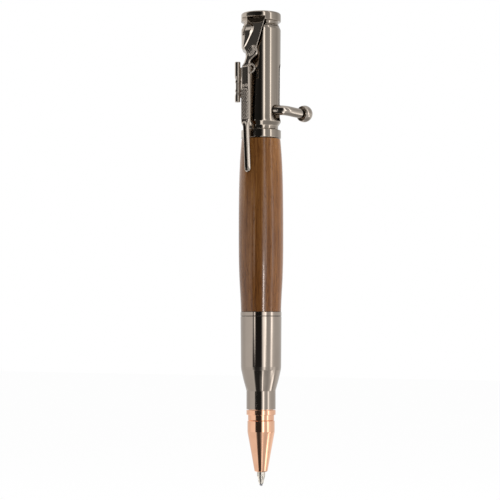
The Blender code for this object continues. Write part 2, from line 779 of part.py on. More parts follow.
def build_bolt(parent, steel, gunmetal):
    """The plunger, its arm and ball knob, and the rod that pushes the refill."""
    pin_radius = core_pin_bore - slide_gap
    core = turned("bolt_core", [
        (core_radius - core_edge, core_z),
        (core_radius, core_z + core_edge),
        (core_radius, core_top_z - core_edge),
        (core_radius - core_edge, core_top_z),
    ], None, inner_sides, steel, parent)
    pin_hole = cutter("pin_hole", turned_bmesh([(core_pin_bore, core_z - overrun),
                                                (core_pin_bore, core_z + core_pin_depth)],
                                               None, small_sides), parent)
    boolean(core, pin_hole, "DIFFERENCE")

    arm = bpy.data.objects.new("bolt_pivot", None)
    bpy.context.scene.collection.objects.link(arm)
    arm.parent = parent
    arm.location = (0, 0, arm_z)
    arm.rotation_euler = (0, 0, at_angle(lock_angle_deg))

    hole = turned_bmesh([(arm_tenon_radius + fit_gap, arm_tenon_start - fit_gap),
                         (arm_tenon_radius + fit_gap, arm_bend_start)], None, small_sides)
    boolean(core, cutter("arm_hole", bend_handle(hole), arm), "DIFFERENCE")

    root = core_radius + arm_root_gap
    arm_end = arm_length - seat_gap
    arm_profile = [
        (arm_tenon_radius, arm_tenon_start),
        (arm_tenon_radius, root),
        (arm_radius - arm_edge, root),
        (arm_radius, root + arm_edge),
    ]
    for index in range(bend_steps + 1):
        arm_profile.append((arm_radius, arm_bend_start + arm_bend_length * index / bend_steps))
    arm_profile += [
        (arm_radius, arm_end - arm_edge),
        (arm_radius - arm_edge, arm_end),
        (knob_tenon_radius, arm_end),
        (knob_tenon_radius, arm_end + knob_tenon_length),
    ]
    add_object("bolt_arm", bend_handle(turned_bmesh(arm_profile, None, small_sides)), gunmetal, arm)

    face_deg = math.degrees(math.asin(knob_face_depth / knob_radius))
    end_deg = math.degrees(math.acos(knob_end_radius / knob_radius))
    knob_outer = arc_points(0, knob_reach, knob_radius, -face_deg, end_deg, knob_steps)
    knob = add_object("bolt_knob", bend_handle(turned_bmesh(knob_outer, None, inner_sides)),
                      gunmetal, arm)
    screw_z = knob_outer[-1][1] - screw_head_height
    shank_z = screw_z - screw_shank_length
    tenon_hole = turned_bmesh([
        (knob_tenon_radius + fit_gap, arm_length - overrun),
        (knob_tenon_radius + fit_gap, arm_length + knob_tenon_length + fit_gap),
    ], None, small_sides)
    screw_hole = turned_bmesh([
        (screw_shank_radius + fit_gap, shank_z - fit_gap),
        (screw_shank_radius + fit_gap, screw_z),
        (screw_head_radius + fit_gap, screw_z),
        (screw_head_radius + fit_gap, screw_z + overrun),
    ], None, small_sides)
    for name, bm in (("knob_tenon_hole", tenon_hole), ("knob_screw_hole", screw_hole)):
        boolean(knob, cutter(name, bend_handle(bm), arm), "DIFFERENCE")
    screw = turned_bmesh([
        (screw_shank_radius, shank_z),
        (screw_shank_radius, screw_z + fit_gap),
        (screw_head_radius, screw_z + fit_gap),
        (screw_head_radius, screw_z + screw_head_height),
        (screw_head_radius / 2, screw_z + screw_head_height + fit_gap),
    ], None, small_sides)
    add_object("knob_screw", bend_handle(screw), steel, arm)

    turned("push_rod", [
        (push_rod_radius, refill_length + seat_gap),
        (push_rod_radius, core_z - seat_gap),
        (pin_radius, core_z - seat_gap),
        (pin_radius, core_z + core_pin_depth - seat_gap),
    ], None, small_sides, steel, parent)


def rifle_point(share):
    """A point of the rifle's outline, seen from in front of the clip."""
    return (-rifle_width * share[0], rifle_z + rifle_length * share[1])


def rifle_stations():
    """The rifle's side profile, as (share of its length, reach of its face, thickness)."""
    return [
        (0, muzzle_reach, muzzle_thickness),
        (muzzle_share, muzzle_reach, muzzle_thickness),
        (strip_end_share, strip_reach, strip_thickness),
        (forend_end_share, forend_reach, receiver_thickness),
        (receiver_end_share, receiver_reach, receiver_thickness),
        (1, butt_reach, stock_thickness),
    ]


def rifle_face(height):
    """How far the rifle's plain face stands from the axis at a height."""
    share = (height - rifle_z) / rifle_length
    stations = rifle_stations()
    for (low, near, _), (high, far, _) in zip(stations, stations[1:]):
        if share <= high:
            return near + (far - near) * (share - low) / (high - low)
    return butt_reach


def face_shape(name, shares, root, lift, parent):
    """A shape that follows the rifle's face, from root below it to lift above it."""
    bm = prism_bmesh([rifle_point(share) for share in shares], (0, -root - lift, 0),
                     lambda point: (point[0], root - rifle_face(point[1]), point[1]))
    return cutter(name, bm, parent)


def build_clip(parent, gunmetal):
    """The rifle-shaped clip: its front outline trimmed by its side profile, then the fittings."""
    outline = [rifle_point(share) for share in rifle_outline_shares]
    deep = receiver_reach + overrun
    bm = prism_bmesh(outline, (0, -deep, 0), lambda point: (point[0], 0, point[1]))
    clip = add_object("rifle_clip", bm, gunmetal, parent)

    stations = rifle_stations()
    side = [(reach, rifle_z + rifle_length * share) for share, reach, _ in stations]
    side[0] = (muzzle_reach - muzzle_chamfer, rifle_z - weld_gap)
    top = rifle_z + rifle_length + overrun
    slope = stock_slope()
    side[-1] = (butt_reach - slope * overrun, top)
    back = [(reach - thickness, rifle_z + rifle_length * share) for share, reach, thickness in stations]
    back[0] = (back[0][0], side[0][1])
    back[-1] = (butt_reach - stock_thickness - slope * overrun, top)
    meet = rifle_z + rifle_length - (receiver_back_reach - butt_reach + stock_thickness) / slope
    back[-2] = (receiver_back_reach, meet)
    profile = side + list(reversed(back))
    wide = 2 * rifle_width
    trim = prism_bmesh(profile, (2 * wide, 0, 0), lambda point: (-wide, -point[0], point[1]))
    boolean(clip, cutter("rifle_side", trim, parent), "INTERSECT")

    boolean(clip, face_shape("grip_panel", grip_outline_shares, panel_root, grip_lift, parent), "UNION")
    boolean(clip, face_shape("cheekpiece", cheek_outline_shares, panel_root, cheek_lift, parent),
            "UNION")
    boolean(clip, face_shape("strip_groove", strip_groove_shares, strip_groove_depth, overrun, parent),
            "DIFFERENCE")

    guard_back = receiver_back_reach + guard_lift
    loop = prism_bmesh([rifle_point(share) for share in guard_outline_shares],
                       (0, -guard_thickness, 0), lambda point: (point[0], -guard_back, point[1]))
    boolean(clip, cutter("trigger_guard", loop, parent), "UNION")
    hole = prism_bmesh([rifle_point(share) for share in guard_hole_shares],
                       (0, -deep, 0), lambda point: (point[0], -guard_back + overrun, point[1]))
    boolean(clip, cutter("guard_hole", hole, parent), "DIFFERENCE")

    scope_z = rifle_z + rifle_length * scope_start_share
    profile = [(scope_bell_radius * out, scope_length * along) for along, out in scope_profile_shares]
    scope = cutter("rifle_scope", turned_bmesh(profile, None, scope_sides), parent)
    scope.location = (-scope_across, -scope_reach, scope_z)
    boolean(clip, scope, "UNION")
    mount_reach = scope_across - rifle_width * rifle_outline_shares[7][0] / 2
    half = mount_thickness / 2
    outline = [
        (-scope_across, scope_z + scope_length * mount_start_share),
        (-scope_across + mount_reach, scope_z + scope_length * mount_start_share),
        (-scope_across + mount_reach, scope_z + scope_length * mount_end_share),
        (-scope_across, scope_z + scope_length * mount_end_share),
    ]
    mount = prism_bmesh(outline, (0, -mount_thickness, 0),
                        lambda point: (point[0], -scope_reach + half, point[1]))
    boolean(clip, cutter("scope_mount", mount, parent), "UNION")
    boolean(clip, cutter("clip_tongue", tongue_shape(0), parent), "UNION")


def main():
    """Build every piece on the empty at the writing end."""
    clear_scene()
    pen = bpy.data.objects.new("pen_tip", None)
    bpy.context.scene.collection.objects.link(pen)
    pen.location = (0, 0, -pen_length)
    gunmetal = new_material("gunmetal", (0.46, 0.43, 0.39), 0.16, 1.0)
    copper = new_material("copper", (0.80, 0.48, 0.33), 0.14, 1.0)
    wood = new_material("wood", (0.23, 0.085, 0.032), 0.35, 0.0)
    brass = new_material("brass", (0.75, 0.58, 0.28), 0.3, 1.0)
    steel = new_material("steel", (0.62, 0.58, 0.52), 0.25, 1.0)
    tungsten = new_material("tungsten", (0.45, 0.45, 0.46), 0.1, 1.0)
    plastic = new_material("plastic", (0.05, 0.05, 0.06), 0.5, 0.0)
    ink = new_material("ink", (0.01, 0.01, 0.02), 0.4, 0.0)
    build_refill(pen, steel, tungsten, steel, plastic, ink)
    build_spring(pen, steel)
    build_nib(pen, copper)
    build_front_case(pen, gunmetal)
    build_coupler(pen, gunmetal)
    build_barrel(pen, wood, brass)
    build_cap(pen, gunmetal)
    build_bolt(pen, steel, gunmetal)
    build_clip(pen, gunmetal)
    bpy.context.view_layer.update()
    print(f"pen_length {pen_length * 1000:.2f} mm, arm at {arm_z * 1000:.2f} mm")


main()
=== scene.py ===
# %% [markdown]
# # A bolt-action ballpoint pen
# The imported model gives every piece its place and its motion. This notebook gives the pieces their
# finished surfaces, then sets up a small studio round them. Each step says first what the piece is
# on the real pen, how it could be made in Blender, and why this way was taken.

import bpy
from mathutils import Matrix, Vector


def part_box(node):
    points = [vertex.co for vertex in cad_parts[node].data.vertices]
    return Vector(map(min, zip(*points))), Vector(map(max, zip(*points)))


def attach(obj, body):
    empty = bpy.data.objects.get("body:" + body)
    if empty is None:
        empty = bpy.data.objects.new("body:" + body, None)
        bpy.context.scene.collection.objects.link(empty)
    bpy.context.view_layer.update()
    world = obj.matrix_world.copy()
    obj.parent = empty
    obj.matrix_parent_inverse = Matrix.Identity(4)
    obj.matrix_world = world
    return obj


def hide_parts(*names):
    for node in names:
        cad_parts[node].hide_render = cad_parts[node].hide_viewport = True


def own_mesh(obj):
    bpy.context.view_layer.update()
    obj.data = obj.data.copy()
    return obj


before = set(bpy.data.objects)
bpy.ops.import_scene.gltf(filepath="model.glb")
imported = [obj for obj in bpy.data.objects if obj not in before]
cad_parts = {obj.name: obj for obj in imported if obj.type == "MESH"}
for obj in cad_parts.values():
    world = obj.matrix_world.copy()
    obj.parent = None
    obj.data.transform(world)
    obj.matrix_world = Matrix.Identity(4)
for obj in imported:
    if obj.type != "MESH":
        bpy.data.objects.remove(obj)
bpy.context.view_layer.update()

# %% [markdown]
# The pen is easiest to think about in millimetres above its writing point, because that is how a
# turner measures it. One value turns such a height into the model's own metres.

# %% Units and places
import math

import bmesh
import bpy
from mathutils import Matrix, Vector
from mathutils.kdtree import KDTree

MM = 0.001
tip_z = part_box("writing_ball")[0].z
pen_length = (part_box("cap_head")[1].z - tip_z) / MM
print(f"pen length {pen_length:.1f} mm")


def add_object(name, data):
    """An object in the scene for a mesh, a curve, a lamp or a camera."""
    added = bpy.data.objects.new(name, data)
    bpy.context.scene.collection.objects.link(added)
    return added


# %% [markdown]
# ## The camera
# The pen was photographed from about half a metre away, with the lens level with the lower third of
# the pen and tipped up a little. A long lens keeps the sides parallel. The rings of the cap arch
# upwards because the lens looks at them from below, and that is what fixes its height.

# %% Camera
camera_azimuth = math.radians(34.0)
camera_distance = 480.0
camera_height = 44.9
camera_tilt = math.radians(2.727)
camera_yaw = math.radians(0.379)
lens_mm = 119.86
sensor_mm = 36.0

camera_data = bpy.data.cameras.new("studio_camera")
camera_data.sensor_width = sensor_mm
camera_data.lens = lens_mm
camera_data.clip_start = 0.01
camera = add_object("studio_camera", camera_data)
camera.location = (camera_distance * MM * math.sin(camera_azimuth),
                   -camera_distance * MM * math.cos(camera_azimuth),
                   tip_z + camera_height * MM)
camera.rotation_euler = (math.radians(90) + camera_tilt, 0, camera_azimuth + camera_yaw)
bpy.context.scene.camera = camera
print("camera at", [round(value, 3) for value in camera.location])

# %% [markdown]
# ## Small helpers for node trees
# Every material below is a node tree. Written out node by node, such trees are long and hard to
# read. A few short functions keep them readable: the first adds any node, sets its values and joins
# its inputs, and the others give the kinds of node that come back most often.

# %% Node helpers
def add_node(tree, kind, inputs=None, **settings):
    """Add a node, set its properties, then the values or links of its inputs."""
    node = tree.nodes.new(kind)
    for key, value in settings.items():
        setattr(node, key, value)
    for key, value in (inputs or {}).items():
        if isinstance(value, bpy.types.NodeSocket):
            tree.links.new(value, node.inputs[key])
        else:
            node.inputs[key].default_value = value
    return node


def math_node(tree, operation, first, second=0.0, third=0.0, clamp=False):
    """A Math node's output."""
    node = add_node(tree, "ShaderNodeMath", {0: first, 1: second, 2: third},
                    operation=operation, use_clamp=clamp)
    return node.outputs[0]


def ramp(tree, factor, stops):
    """A colour ramp's colour output; stops are (position, grey or colour)."""
    node = add_node(tree, "ShaderNodeValToRGB", {"Fac": factor})
    elements = node.color_ramp.elements
    while len(elements) < len(stops):
        elements.new(0.5)
    for element, (position, colour) in zip(elements, stops):
        element.position = position
        rgb = (colour,) * 3 if isinstance(colour, (int, float)) else colour
        element.color = (*rgb, 1.0)
    return node.outputs["Color"]


def mix_colours(tree, share, first, second, blend="MIX"):
    """The colour between two others; share 0 gives the first."""
    node = add_node(tree, "ShaderNodeMix", {0: share, 6: first, 7: second}, data_type="RGBA",
                    blend_type=blend)
    return node.outputs[2]


def noise(tree, place, scale, detail, roughness=0.5, output="Fac"):
    """A Noise texture's output at a place."""
    node = add_node(tree, "ShaderNodeTexNoise", {"Vector": place, "Scale": scale, "Detail": detail,
                                                 "Roughness": roughness})
    return node.outputs[output]


def vector_node(tree, operation, first, second=(0.0, 0.0, 0.0), output="Vector"):
    """A Vector Math node's output."""
    node = add_node(tree, "ShaderNodeVectorMath", {0: first, 1: second}, operation=operation)
    return node.outputs[output]


def new_material(name):
    """A material with an empty node tree, and that tree."""
    material = bpy.data.materials.new(name)
    material.use_nodes = True
    material.node_tree.nodes.clear()
    return material, material.node_tree


print("node helpers: any node, mathematics, ramp, mix, noise, vector, material")

# %% [markdown]
# ## The studio
# Polished metal is a mirror, so its look is the look of the room. The pen hung in a white tent: the
# camera looked in through a dark gap, and two strip lights stood to the right of it. A dome of
# emission round the pen can carry this pattern. Only glossy rays see it, so it draws the bands in
# the metal without lighting the pen a second time.
#
# The lens is low and each piece leans in its own way, so each mirrors another height of the tent.
# The housing mirrors what is above the lens, the front case what is level with it, the neck what is
# just below, and the copper cone and the case's shoulder what is far below. So there is one pattern
# for each of these heights, written as pairs of degrees from the lens and brightness.

# %% Patterns of the tent
strip_brightness = 3.2


def degrees_stops(table):
    """Turn (degrees from the lens, brightness) into positions on a ramp."""
    return [((angle + 180) / 360, value / strip_brightness) for angle, value in table]


low_pattern = degrees_stops([
    (-180, 0.85), (-110, 0.85), (-90, 1.0), (-48, 1.05), (-46, 0.25), (-41, 0.12), (-39, 1.7),
    (-34, 1.7), (-31, 0.06), (-26, 0.02), (0, 0.02), (4, 0.12), (7, 0.8), (10, 1.7), (14, 2.1),
    (20, 2.4), (23, 3.2), (28.5, 3.2), (31, 1.0), (35, 0.66), (50, 0.72), (56, 1.0), (59, 3.0),
    (65, 3.2), (68.5, 1.6), (76, 1.0), (90, 0.88), (110, 0.90), (180, 0.90),
])
high_pattern = degrees_stops([
    (-180, 1.25), (-110, 1.30), (-98, 1.30), (-86, 0.12), (-60, 0.06), (-30, 0.03), (-3, 0.02),
    (3, 0.05), (8, 0.16), (12, 0.70), (16, 2.2), (20, 3.2), (22, 2.9), (24.5, 0.65), (33, 0.52),
    (50, 0.62), (55, 0.9), (57, 3.1), (60.5, 3.1), (63, 1.1), (72, 0.85), (88, 0.72), (105, 0.60),
    (125, 0.80), (180, 0.75),
])
table_pattern = degrees_stops([
    (-180, 1.6), (-110, 2.6), (-92, 3.2), (-87, 3.2), (-82, 0.10), (-8, 0.04), (-2, 3.0), (13, 3.2),
    (20, 0.85), (60, 0.80), (120, 0.80), (180, 1.2),
])
shoulder_pattern = degrees_stops([
    (-180, 0.95), (-60, 1.05), (-49, 1.1), (-45, 0.5), (-40, 0.06), (-14, 0.04), (-8, 0.15),
    (-3, 0.3), (3, 0.2), (6, 0.6), (8, 3.2), (12, 3.2), (14, 1.7), (19, 1.1), (27, 0.85),
    (45, 0.66), (60, 0.85), (72, 1.2), (77, 2.4), (81, 3.2), (89, 3.2), (93, 0.9), (100, 0.75),
    (115, 1.1), (180, 1.2),
])
bend_pattern = degrees_stops([
    (-180, 0.9), (-60, 1.0), (-47, 1.05), (-43, 0.3), (-40, 0.04), (-8, 0.04), (2, 0.1),
    (7, 0.9), (10, 2.2), (15, 2.0), (18, 0.9), (27, 0.62), (42, 0.6), (58, 0.88), (62, 1.6),
    (66, 3.0), (74, 3.2), (78, 1.2), (84, 0.8), (99, 1.0), (120, 1.0), (180, 1.2),
])
cone_pattern = degrees_stops([
    (-180, 0.88), (-60, 0.92), (-48, 0.95), (-42, 0.55), (-36, 0.12), (-30, 0.05), (-12, 0.06),
    (-4, 0.18), (2, 0.35), (8, 0.9), (14, 1.15), (20, 0.98), (30, 0.78), (45, 0.68), (57, 0.74),
    (66, 0.9), (73, 1.4), (80, 1.7), (88, 1.5), (95, 0.8), (105, 0.77), (125, 0.9), (180, 0.9),
])
below_pattern = degrees_stops([
    (-180, 0.85), (-110, 0.85), (-90, 1.0), (-54, 1.05), (-51, 0.9), (-47, 0.10), (-42, 0.03),
    (-2, 0.03), (4, 0.2), (8, 0.9), (11, 1.7), (15, 1.9), (18, 3.0), (23, 3.2), (25, 1.4),
    (29, 0.8), (48, 0.70), (53, 1.1), (57, 2.3), (63, 2.4), (68, 1.2), (78, 0.98), (90, 0.88),
    (110, 0.85), (180, 0.85),
])
roof_pattern = degrees_stops([(-180, 0.9), (180, 0.9)])
higher_patterns = (
    (shoulder_pattern, -41, -37), (bend_pattern, -30.5, -27.5), (cone_pattern, -27, -25.5),
    (below_pattern, -18, -6), (low_pattern, -2.6, -1.0), (high_pattern, 5.5, 8),
    (roof_pattern, 50, 66),
)
print("patterns of the tent:", 1 + len(higher_patterns))

# %% [markdown]
# A pattern is read by two angles, seen from the pen at the lens's height: the turn round the pen and
# the rise. Towards the sides of a piece that leans down, the mirrored rays fall less than at its
# middle, by the cosine of half the turn. Dividing the rise by that cosine undoes it, so that each
# piece keeps to one pattern from side to side.

# %% Angles in the tent
tent_material, tree = new_material("light_tent")
place = add_node(tree, "ShaderNodeTexCoord").outputs["Object"]
axes = add_node(tree, "ShaderNodeSeparateXYZ", {0: place})
across, along, up = axes.outputs
turn = math_node(tree, "ARCTAN2", across, math_node(tree, "MULTIPLY", along, -1.0))
turn = math_node(tree, "SUBTRACT", turn, camera_azimuth)
turn = math_node(tree, "WRAP", turn, math.pi, -math.pi)
least_facing = 0.35
facing = math_node(tree, "MAXIMUM", least_facing,
                   math_node(tree, "COSINE", math_node(tree, "MULTIPLY", turn, 0.5)))
turn = math_node(tree, "MULTIPLY_ADD", turn, 1 / math.tau, 0.5)
flat = math_node(tree, "SQRT", math_node(tree, "ADD", math_node(tree, "MULTIPLY", across, across),
                                        math_node(tree, "MULTIPLY", along, along)))
rise = math_node(tree, "ARCTAN2", up, flat)
rise = math_node(tree, "MINIMUM", rise, math_node(tree, "DIVIDE", rise, facing))
rise = math_node(tree, "MULTIPLY_ADD", rise, 1 / math.pi, 0.5)
print("the tent's angles take", len(tree.nodes), "nodes")

# %% [markdown]
# From below upwards, each pattern fades into the next within a few degrees. A last ramp dims the
# tent near its ground and its roof, where less light reached the real one.

# %% Light of the tent
bands = ramp(tree, turn, table_pattern)
for pattern, low_deg, high_deg in higher_patterns:
    climb = ramp(tree, rise, [(0.5 + low_deg / 180, 0.0), (0.5 + high_deg / 180, 1.0)])
    bands = mix_colours(tree, climb, bands, ramp(tree, turn, pattern))
fade = ramp(tree, rise, [(0.05, 0.45), (0.25, 0.75), (0.36, 0.95), (0.53, 1.0), (0.70, 0.80),
                         (0.80, 0.85), (1.0, 1.0)])
light = mix_colours(tree, 1.0, bands, fade, blend="MULTIPLY")
glow = add_node(tree, "ShaderNodeEmission", {"Color": light, "Strength": strip_brightness})
add_node(tree, "ShaderNodeOutputMaterial", {"Surface": glow.outputs[0]})
tent_material.cycles.emission_sampling = "NONE"
print("the tent's light takes", len(tree.nodes), "nodes")

# %% [markdown]
# The tent itself is a plain dome round the pen. A picture of a studio on the world would do the same,
# but this dome can be hidden from all rays except the glossy ones.

# %% Tent
tent_radius = 1.6
tent_mesh = bpy.data.meshes.new("light_tent")
bm = bmesh.new()
bmesh.ops.create_uvsphere(bm, u_segments=48, v_segments=24, radius=tent_radius)
bm.to_mesh(tent_mesh)
bm.free()
tent_mesh.materials.append(tent_material)
tent = add_object("light_tent", tent_mesh)
tent.location = (0, 0, tip_z + camera_height * MM)
for kind in ("camera", "diffuse", "transmission", "volume_scatter", "shadow"):
    setattr(tent, "visible_" + kind, False)
print("tent radius:", tent_radius, "m")

# %% [markdown]
# The wood and the plastic need ordinary soft light. A large lamp stands to the right, a weaker one
# to the left, and a dim white world fills the rest. To the camera the world is plain white paper.

# %% World
world = bpy.data.worlds.new("white_paper")
bpy.context.scene.world = world
world.use_nodes = True
tree = world.node_tree
tree.nodes.clear()
path = add_node(tree, "ShaderNodeLightPath")
seen = math_node(tree, "ADD", path.outputs["Is Camera Ray"], path.outputs["Is Glossy Ray"])
seen = math_node(tree, "ADD", seen, path.outputs["Is Transmission Ray"], clamp=True)
fill_level = 0.38
strength = math_node(tree, "MULTIPLY_ADD", seen, 1.0 - fill_level, fill_level)
paper = add_node(tree, "ShaderNodeBackground", {"Color": (1, 1, 1, 1), "Strength": strength})
add_node(tree, "ShaderNodeOutputWorld", {"Surface": paper.outputs[0]})
print("world:", world.name)

# %% [markdown]
# The lamps are large, so that their shadows are soft. They don't show in reflections, because the
# tent already draws what the metal mirrors.

# %% Lamps
def soft_lamp(name, turn_deg, rise_mm, distance_mm, size_mm, watts):
    """A lamp turned towards the middle of the pen; its angle is counted from the lens."""
    data = bpy.data.lights.new(name, "AREA")
    data.size = size_mm * MM
    data.energy = watts
    lamp = add_object(name, data)
    turn = camera_azimuth + math.radians(turn_deg)
    middle = Vector((0, 0, tip_z + pen_length / 2 * MM))
    lamp.location = middle + Vector((math.sin(turn) * distance_mm, -math.cos(turn) * distance_mm,
                                     rise_mm)) * MM
    lamp.rotation_euler = (lamp.location - middle).to_track_quat("Z", "Y").to_euler()
    lamp.visible_glossy = False
    lamp.visible_camera = False
    return lamp


key = soft_lamp("key_lamp", 88, 120, 620, 340, 2.7)
fill = soft_lamp("fill_lamp", -105, 80, 700, 420, 1.3)
print("lamps:", key.name, fill.name)

# %% [markdown]
# The pen hangs free, so the floor lies well below it, far enough for the front half to be drawn off
# downwards. To the camera it is mostly plain white, mixed with a little of the lit paper. That keeps
# the floor as pale as the background and still keeps the shadow.

# %% Floor
floor_drop = 70.0
floor_size = 6.0
floor_mesh = bpy.data.meshes.new("floor")
half = floor_size / 2
floor_mesh.from_pydata([(-half, -half, 0), (half, -half, 0), (half, half, 0), (-half, half, 0)], [],
                       [(0, 1, 2, 3)])
floor = add_object("floor", floor_mesh)
floor.location = (0, 0, tip_z - floor_drop * MM)
floor.visible_glossy = False

camera_white_share, camera_white = 0.80, 1.145
floor_material, tree = new_material("floor_paper")
path = add_node(tree, "ShaderNodeLightPath")
speck = add_node(tree, "ShaderNodeTexNoise", {"Scale": 40.0, "Detail": 4.0})
tone = ramp(tree, speck.outputs["Fac"], [(0.3, 0.88), (0.7, 0.91)])
lit = add_node(tree, "ShaderNodeBsdfDiffuse", {"Color": tone})
white = add_node(tree, "ShaderNodeEmission", {"Color": (1, 1, 1, 1), "Strength": camera_white})
share = math_node(tree, "MULTIPLY", path.outputs["Is Camera Ray"], camera_white_share)
mixed = add_node(tree, "ShaderNodeMixShader", {0: share, 1: lit.outputs[0], 2: white.outputs[0]})
add_node(tree, "ShaderNodeOutputMaterial", {"Surface": mixed.outputs[0]})
floor_mesh.materials.append(floor_material)
print("floor at", round(floor.location.z, 3), "m")

# %% [markdown]
# ## Effects that several finishes share
# Plated metal is never perfectly even, and turned metal carries the marks of the tool. Each effect is
# a node group with its own inputs, so that every finish can use it with its own values. All scales
# are in millimetres.

# %% Groups and places in millimetres
def group_tree(name, inputs, outputs):
    """A new shader group with float inputs (name, value) and named outputs."""
    tree = bpy.data.node_groups.new(name, "ShaderNodeTree")
    for label, value in inputs:
        socket = tree.interface.new_socket(label, in_out="INPUT", socket_type="NodeSocketFloat")
        socket.default_value = value
    for label, kind in outputs:
        tree.interface.new_socket(label, in_out="OUTPUT", socket_type=kind)
    entry = tree.nodes.new("NodeGroupInput")
    leave = tree.nodes.new("NodeGroupOutput")
    return tree, entry.outputs, leave.inputs


def millimetres(tree, scale=(1.0, 1.0, 1.0)):
    """Object coordinates counted in millimetres, stretched along each axis."""
    place = add_node(tree, "ShaderNodeTexCoord").outputs["Object"]
    return vector_node(tree, "MULTIPLY", place, tuple(value / MM for value in scale))


print("a noise scale of 1 gives about one feature per millimetre")

# %% [markdown]
# The polish leaves a faint ripple, and handling leaves a haze with fine upright scratches. Noise at
# three scales gives them. One output is a height for a bump, the other a mask of where the metal is
# dulled.

# %% Group: polish and haze
polish, entry, leave = group_tree(
    "polish_and_haze", [("Ripple", 1.0), ("Haze", 0.5), ("Scratches", 0.3)],
    [("Height", "NodeSocketFloat"), ("Haze", "NodeSocketFloat")])
place = millimetres(polish)
ripple = noise(polish, place, 0.35, 2.0)
grit = noise(polish, millimetres(polish, (1, 1, 0.12)), 9.0, 3.0)
scratch = math_node(polish, "MULTIPLY", grit, entry["Scratches"])
height = math_node(polish, "MULTIPLY_ADD", ripple, entry["Ripple"],
                   math_node(polish, "MULTIPLY", scratch, 0.02))
polish.links.new(height, leave["Height"])
patch = ramp(polish, noise(polish, place, 0.22, 5.0, 0.65), [(0.42, 0.0), (0.68, 1.0)])
haze = math_node(polish, "MULTIPLY", patch, entry["Haze"])
haze = math_node(polish, "ADD", haze, math_node(polish, "MULTIPLY", scratch, 0.15), clamp=True)
polish.links.new(haze, leave["Haze"])
print("group:", polish.name)

# %% [markdown]
# A lathe tool leaves fine rings round the axis. Noise that is read by the height alone gives rings of
# uneven depth, and a slow wander keeps them from being perfect circles.

# %% Group: turning marks
turning, entry, leave = group_tree(
    "turning_marks", [("Rings per mm", 9.0), ("Unevenness", 0.5)],
    [("Height", "NodeSocketFloat")])
place = millimetres(turning)
height_mm = add_node(turning, "ShaderNodeSeparateXYZ", {0: place}).outputs[2]
shift = math_node(turning, "MULTIPLY", noise(turning, place, 0.8, 2.0), entry["Unevenness"])
phase = math_node(turning, "MULTIPLY_ADD", height_mm, entry["Rings per mm"], shift)
on_line = add_node(turning, "ShaderNodeCombineXYZ", {2: phase}).outputs[0]
turning.links.new(noise(turning, on_line, 1.0, 2.0), leave["Height"])
print("group:", turning.name)

# %% [markdown]
# ## Metals
# The housing, the clip and the front case are plated in dark, warm grey nickel and polished; the
# front cone is plated in copper. A metal's colour is the share of light that it gives back, so the
# base colour is set from the pale left side of the pen, where it mirrors the white tent.
#
# The edges cut into the housing are filed. A Bevel node rounds them in the shading alone, which is
# safe on a mesh that was cut with many tools. The milled side of the pocket is left satin, and the
# recesses of the front joint are painted black as painted shade for the narrow gaps.

# %% Metal builder
polish_depth_mm = 0.004


def metal(name, colour, shade, roughness, rough_haze=0.10, ripple=1.0, haze=0.5, scratches=0.3,
          rings=0.0, ring_depth_mm=0.0, filed_edge_mm=0.0):
    """A plated or bare metal: two close tones, a haze that dulls it, and a ripple or lathe rings."""
    material, tree = new_material(name)
    shader = add_node(tree, "ShaderNodeBsdfPrincipled", {"Metallic": 1.0})
    finish = add_node(tree, "ShaderNodeGroup", node_tree=polish)
    for label, value in (("Ripple", ripple), ("Haze", haze), ("Scratches", scratches)):
        finish.inputs[label].default_value = value
    tone = mix_colours(tree, finish.outputs["Haze"], (*colour, 1), (*shade, 1))
    tree.links.new(tone, shader.inputs["Base Color"])
    rough = math_node(tree, "MULTIPLY_ADD", finish.outputs["Haze"], rough_haze, roughness)
    tree.links.new(rough, shader.inputs["Roughness"])
    bump = add_node(tree, "ShaderNodeBump", {"Height": finish.outputs["Height"], "Strength": 1.0,
                                             "Distance": polish_depth_mm * MM})
    normal = bump.outputs[0]
    if filed_edge_mm:
        filed = add_node(tree, "ShaderNodeBevel", {"Radius": filed_edge_mm * MM}, samples=6)
        tree.links.new(filed.outputs[0], bump.inputs["Normal"])
    if rings:
        marks = add_node(tree, "ShaderNodeGroup", node_tree=turning)
        marks.inputs["Rings per mm"].default_value = rings
        cut = add_node(tree, "ShaderNodeBump", {"Height": marks.outputs["Height"],
                                                "Distance": ring_depth_mm * MM, "Normal": normal})
        normal = cut.outputs[0]
    tree.links.new(normal, shader.inputs["Normal"])
    add_node(tree, "ShaderNodeOutputMaterial", {"Surface": shader.outputs[0]})
    return material


print("polish ripple:", polish_depth_mm, "mm deep")

# %% [markdown]
# One plate covers several pieces. The turned case is the smoothest. The casting is a little rougher,
# and its plate is painted paler, as the photograph shows it, a painted sheen for the brighter light
# on its relief; the pocket's milled side is dull.

# %% Plated metals
gunmetal = metal("gunmetal_plate", (0.370, 0.315, 0.268), (0.330, 0.280, 0.238), 0.045)
filed_gunmetal = metal("gunmetal_plate_with_filed_edges", (0.370, 0.318, 0.266),
                       (0.330, 0.282, 0.236), 0.045, filed_edge_mm=0.22)
satin_gunmetal = metal("gunmetal_plate_on_milled_side", (0.40, 0.35, 0.30), (0.36, 0.31, 0.26), 0.30,
                       ripple=2.0, haze=0.6, scratches=0.8)
# painted shade: a black finish that stands in for the shadow in the joints' narrow gaps
joint_painted_shade = metal("joint_recess_painted_shade", (0.050, 0.045, 0.040), (0.030, 0.028, 0.026), 0.45,
                    rough_haze=0.15, haze=0.6, scratches=0.6)
# painted sheen: this plate is paler than the others so that the casting and the handle look brighter
cast_gunmetal_with_painted_sheen = metal("gunmetal_plate_on_casting_with_painted_sheen", (0.48, 0.42, 0.36), (0.38, 0.33, 0.28), 0.055,
                      rough_haze=0.09, ripple=1.6, scratches=0.4)
copper = metal("copper_plate", (0.86, 0.50, 0.33), (0.76, 0.41, 0.26), 0.05)
print("plated metals:", gunmetal.name, satin_gunmetal.name, cast_gunmetal_with_painted_sheen.name, copper.name)

# %% [markdown]
# The metals inside have no plate. They are rougher than the plated ones, and those that were turned
# or drawn keep their rings.

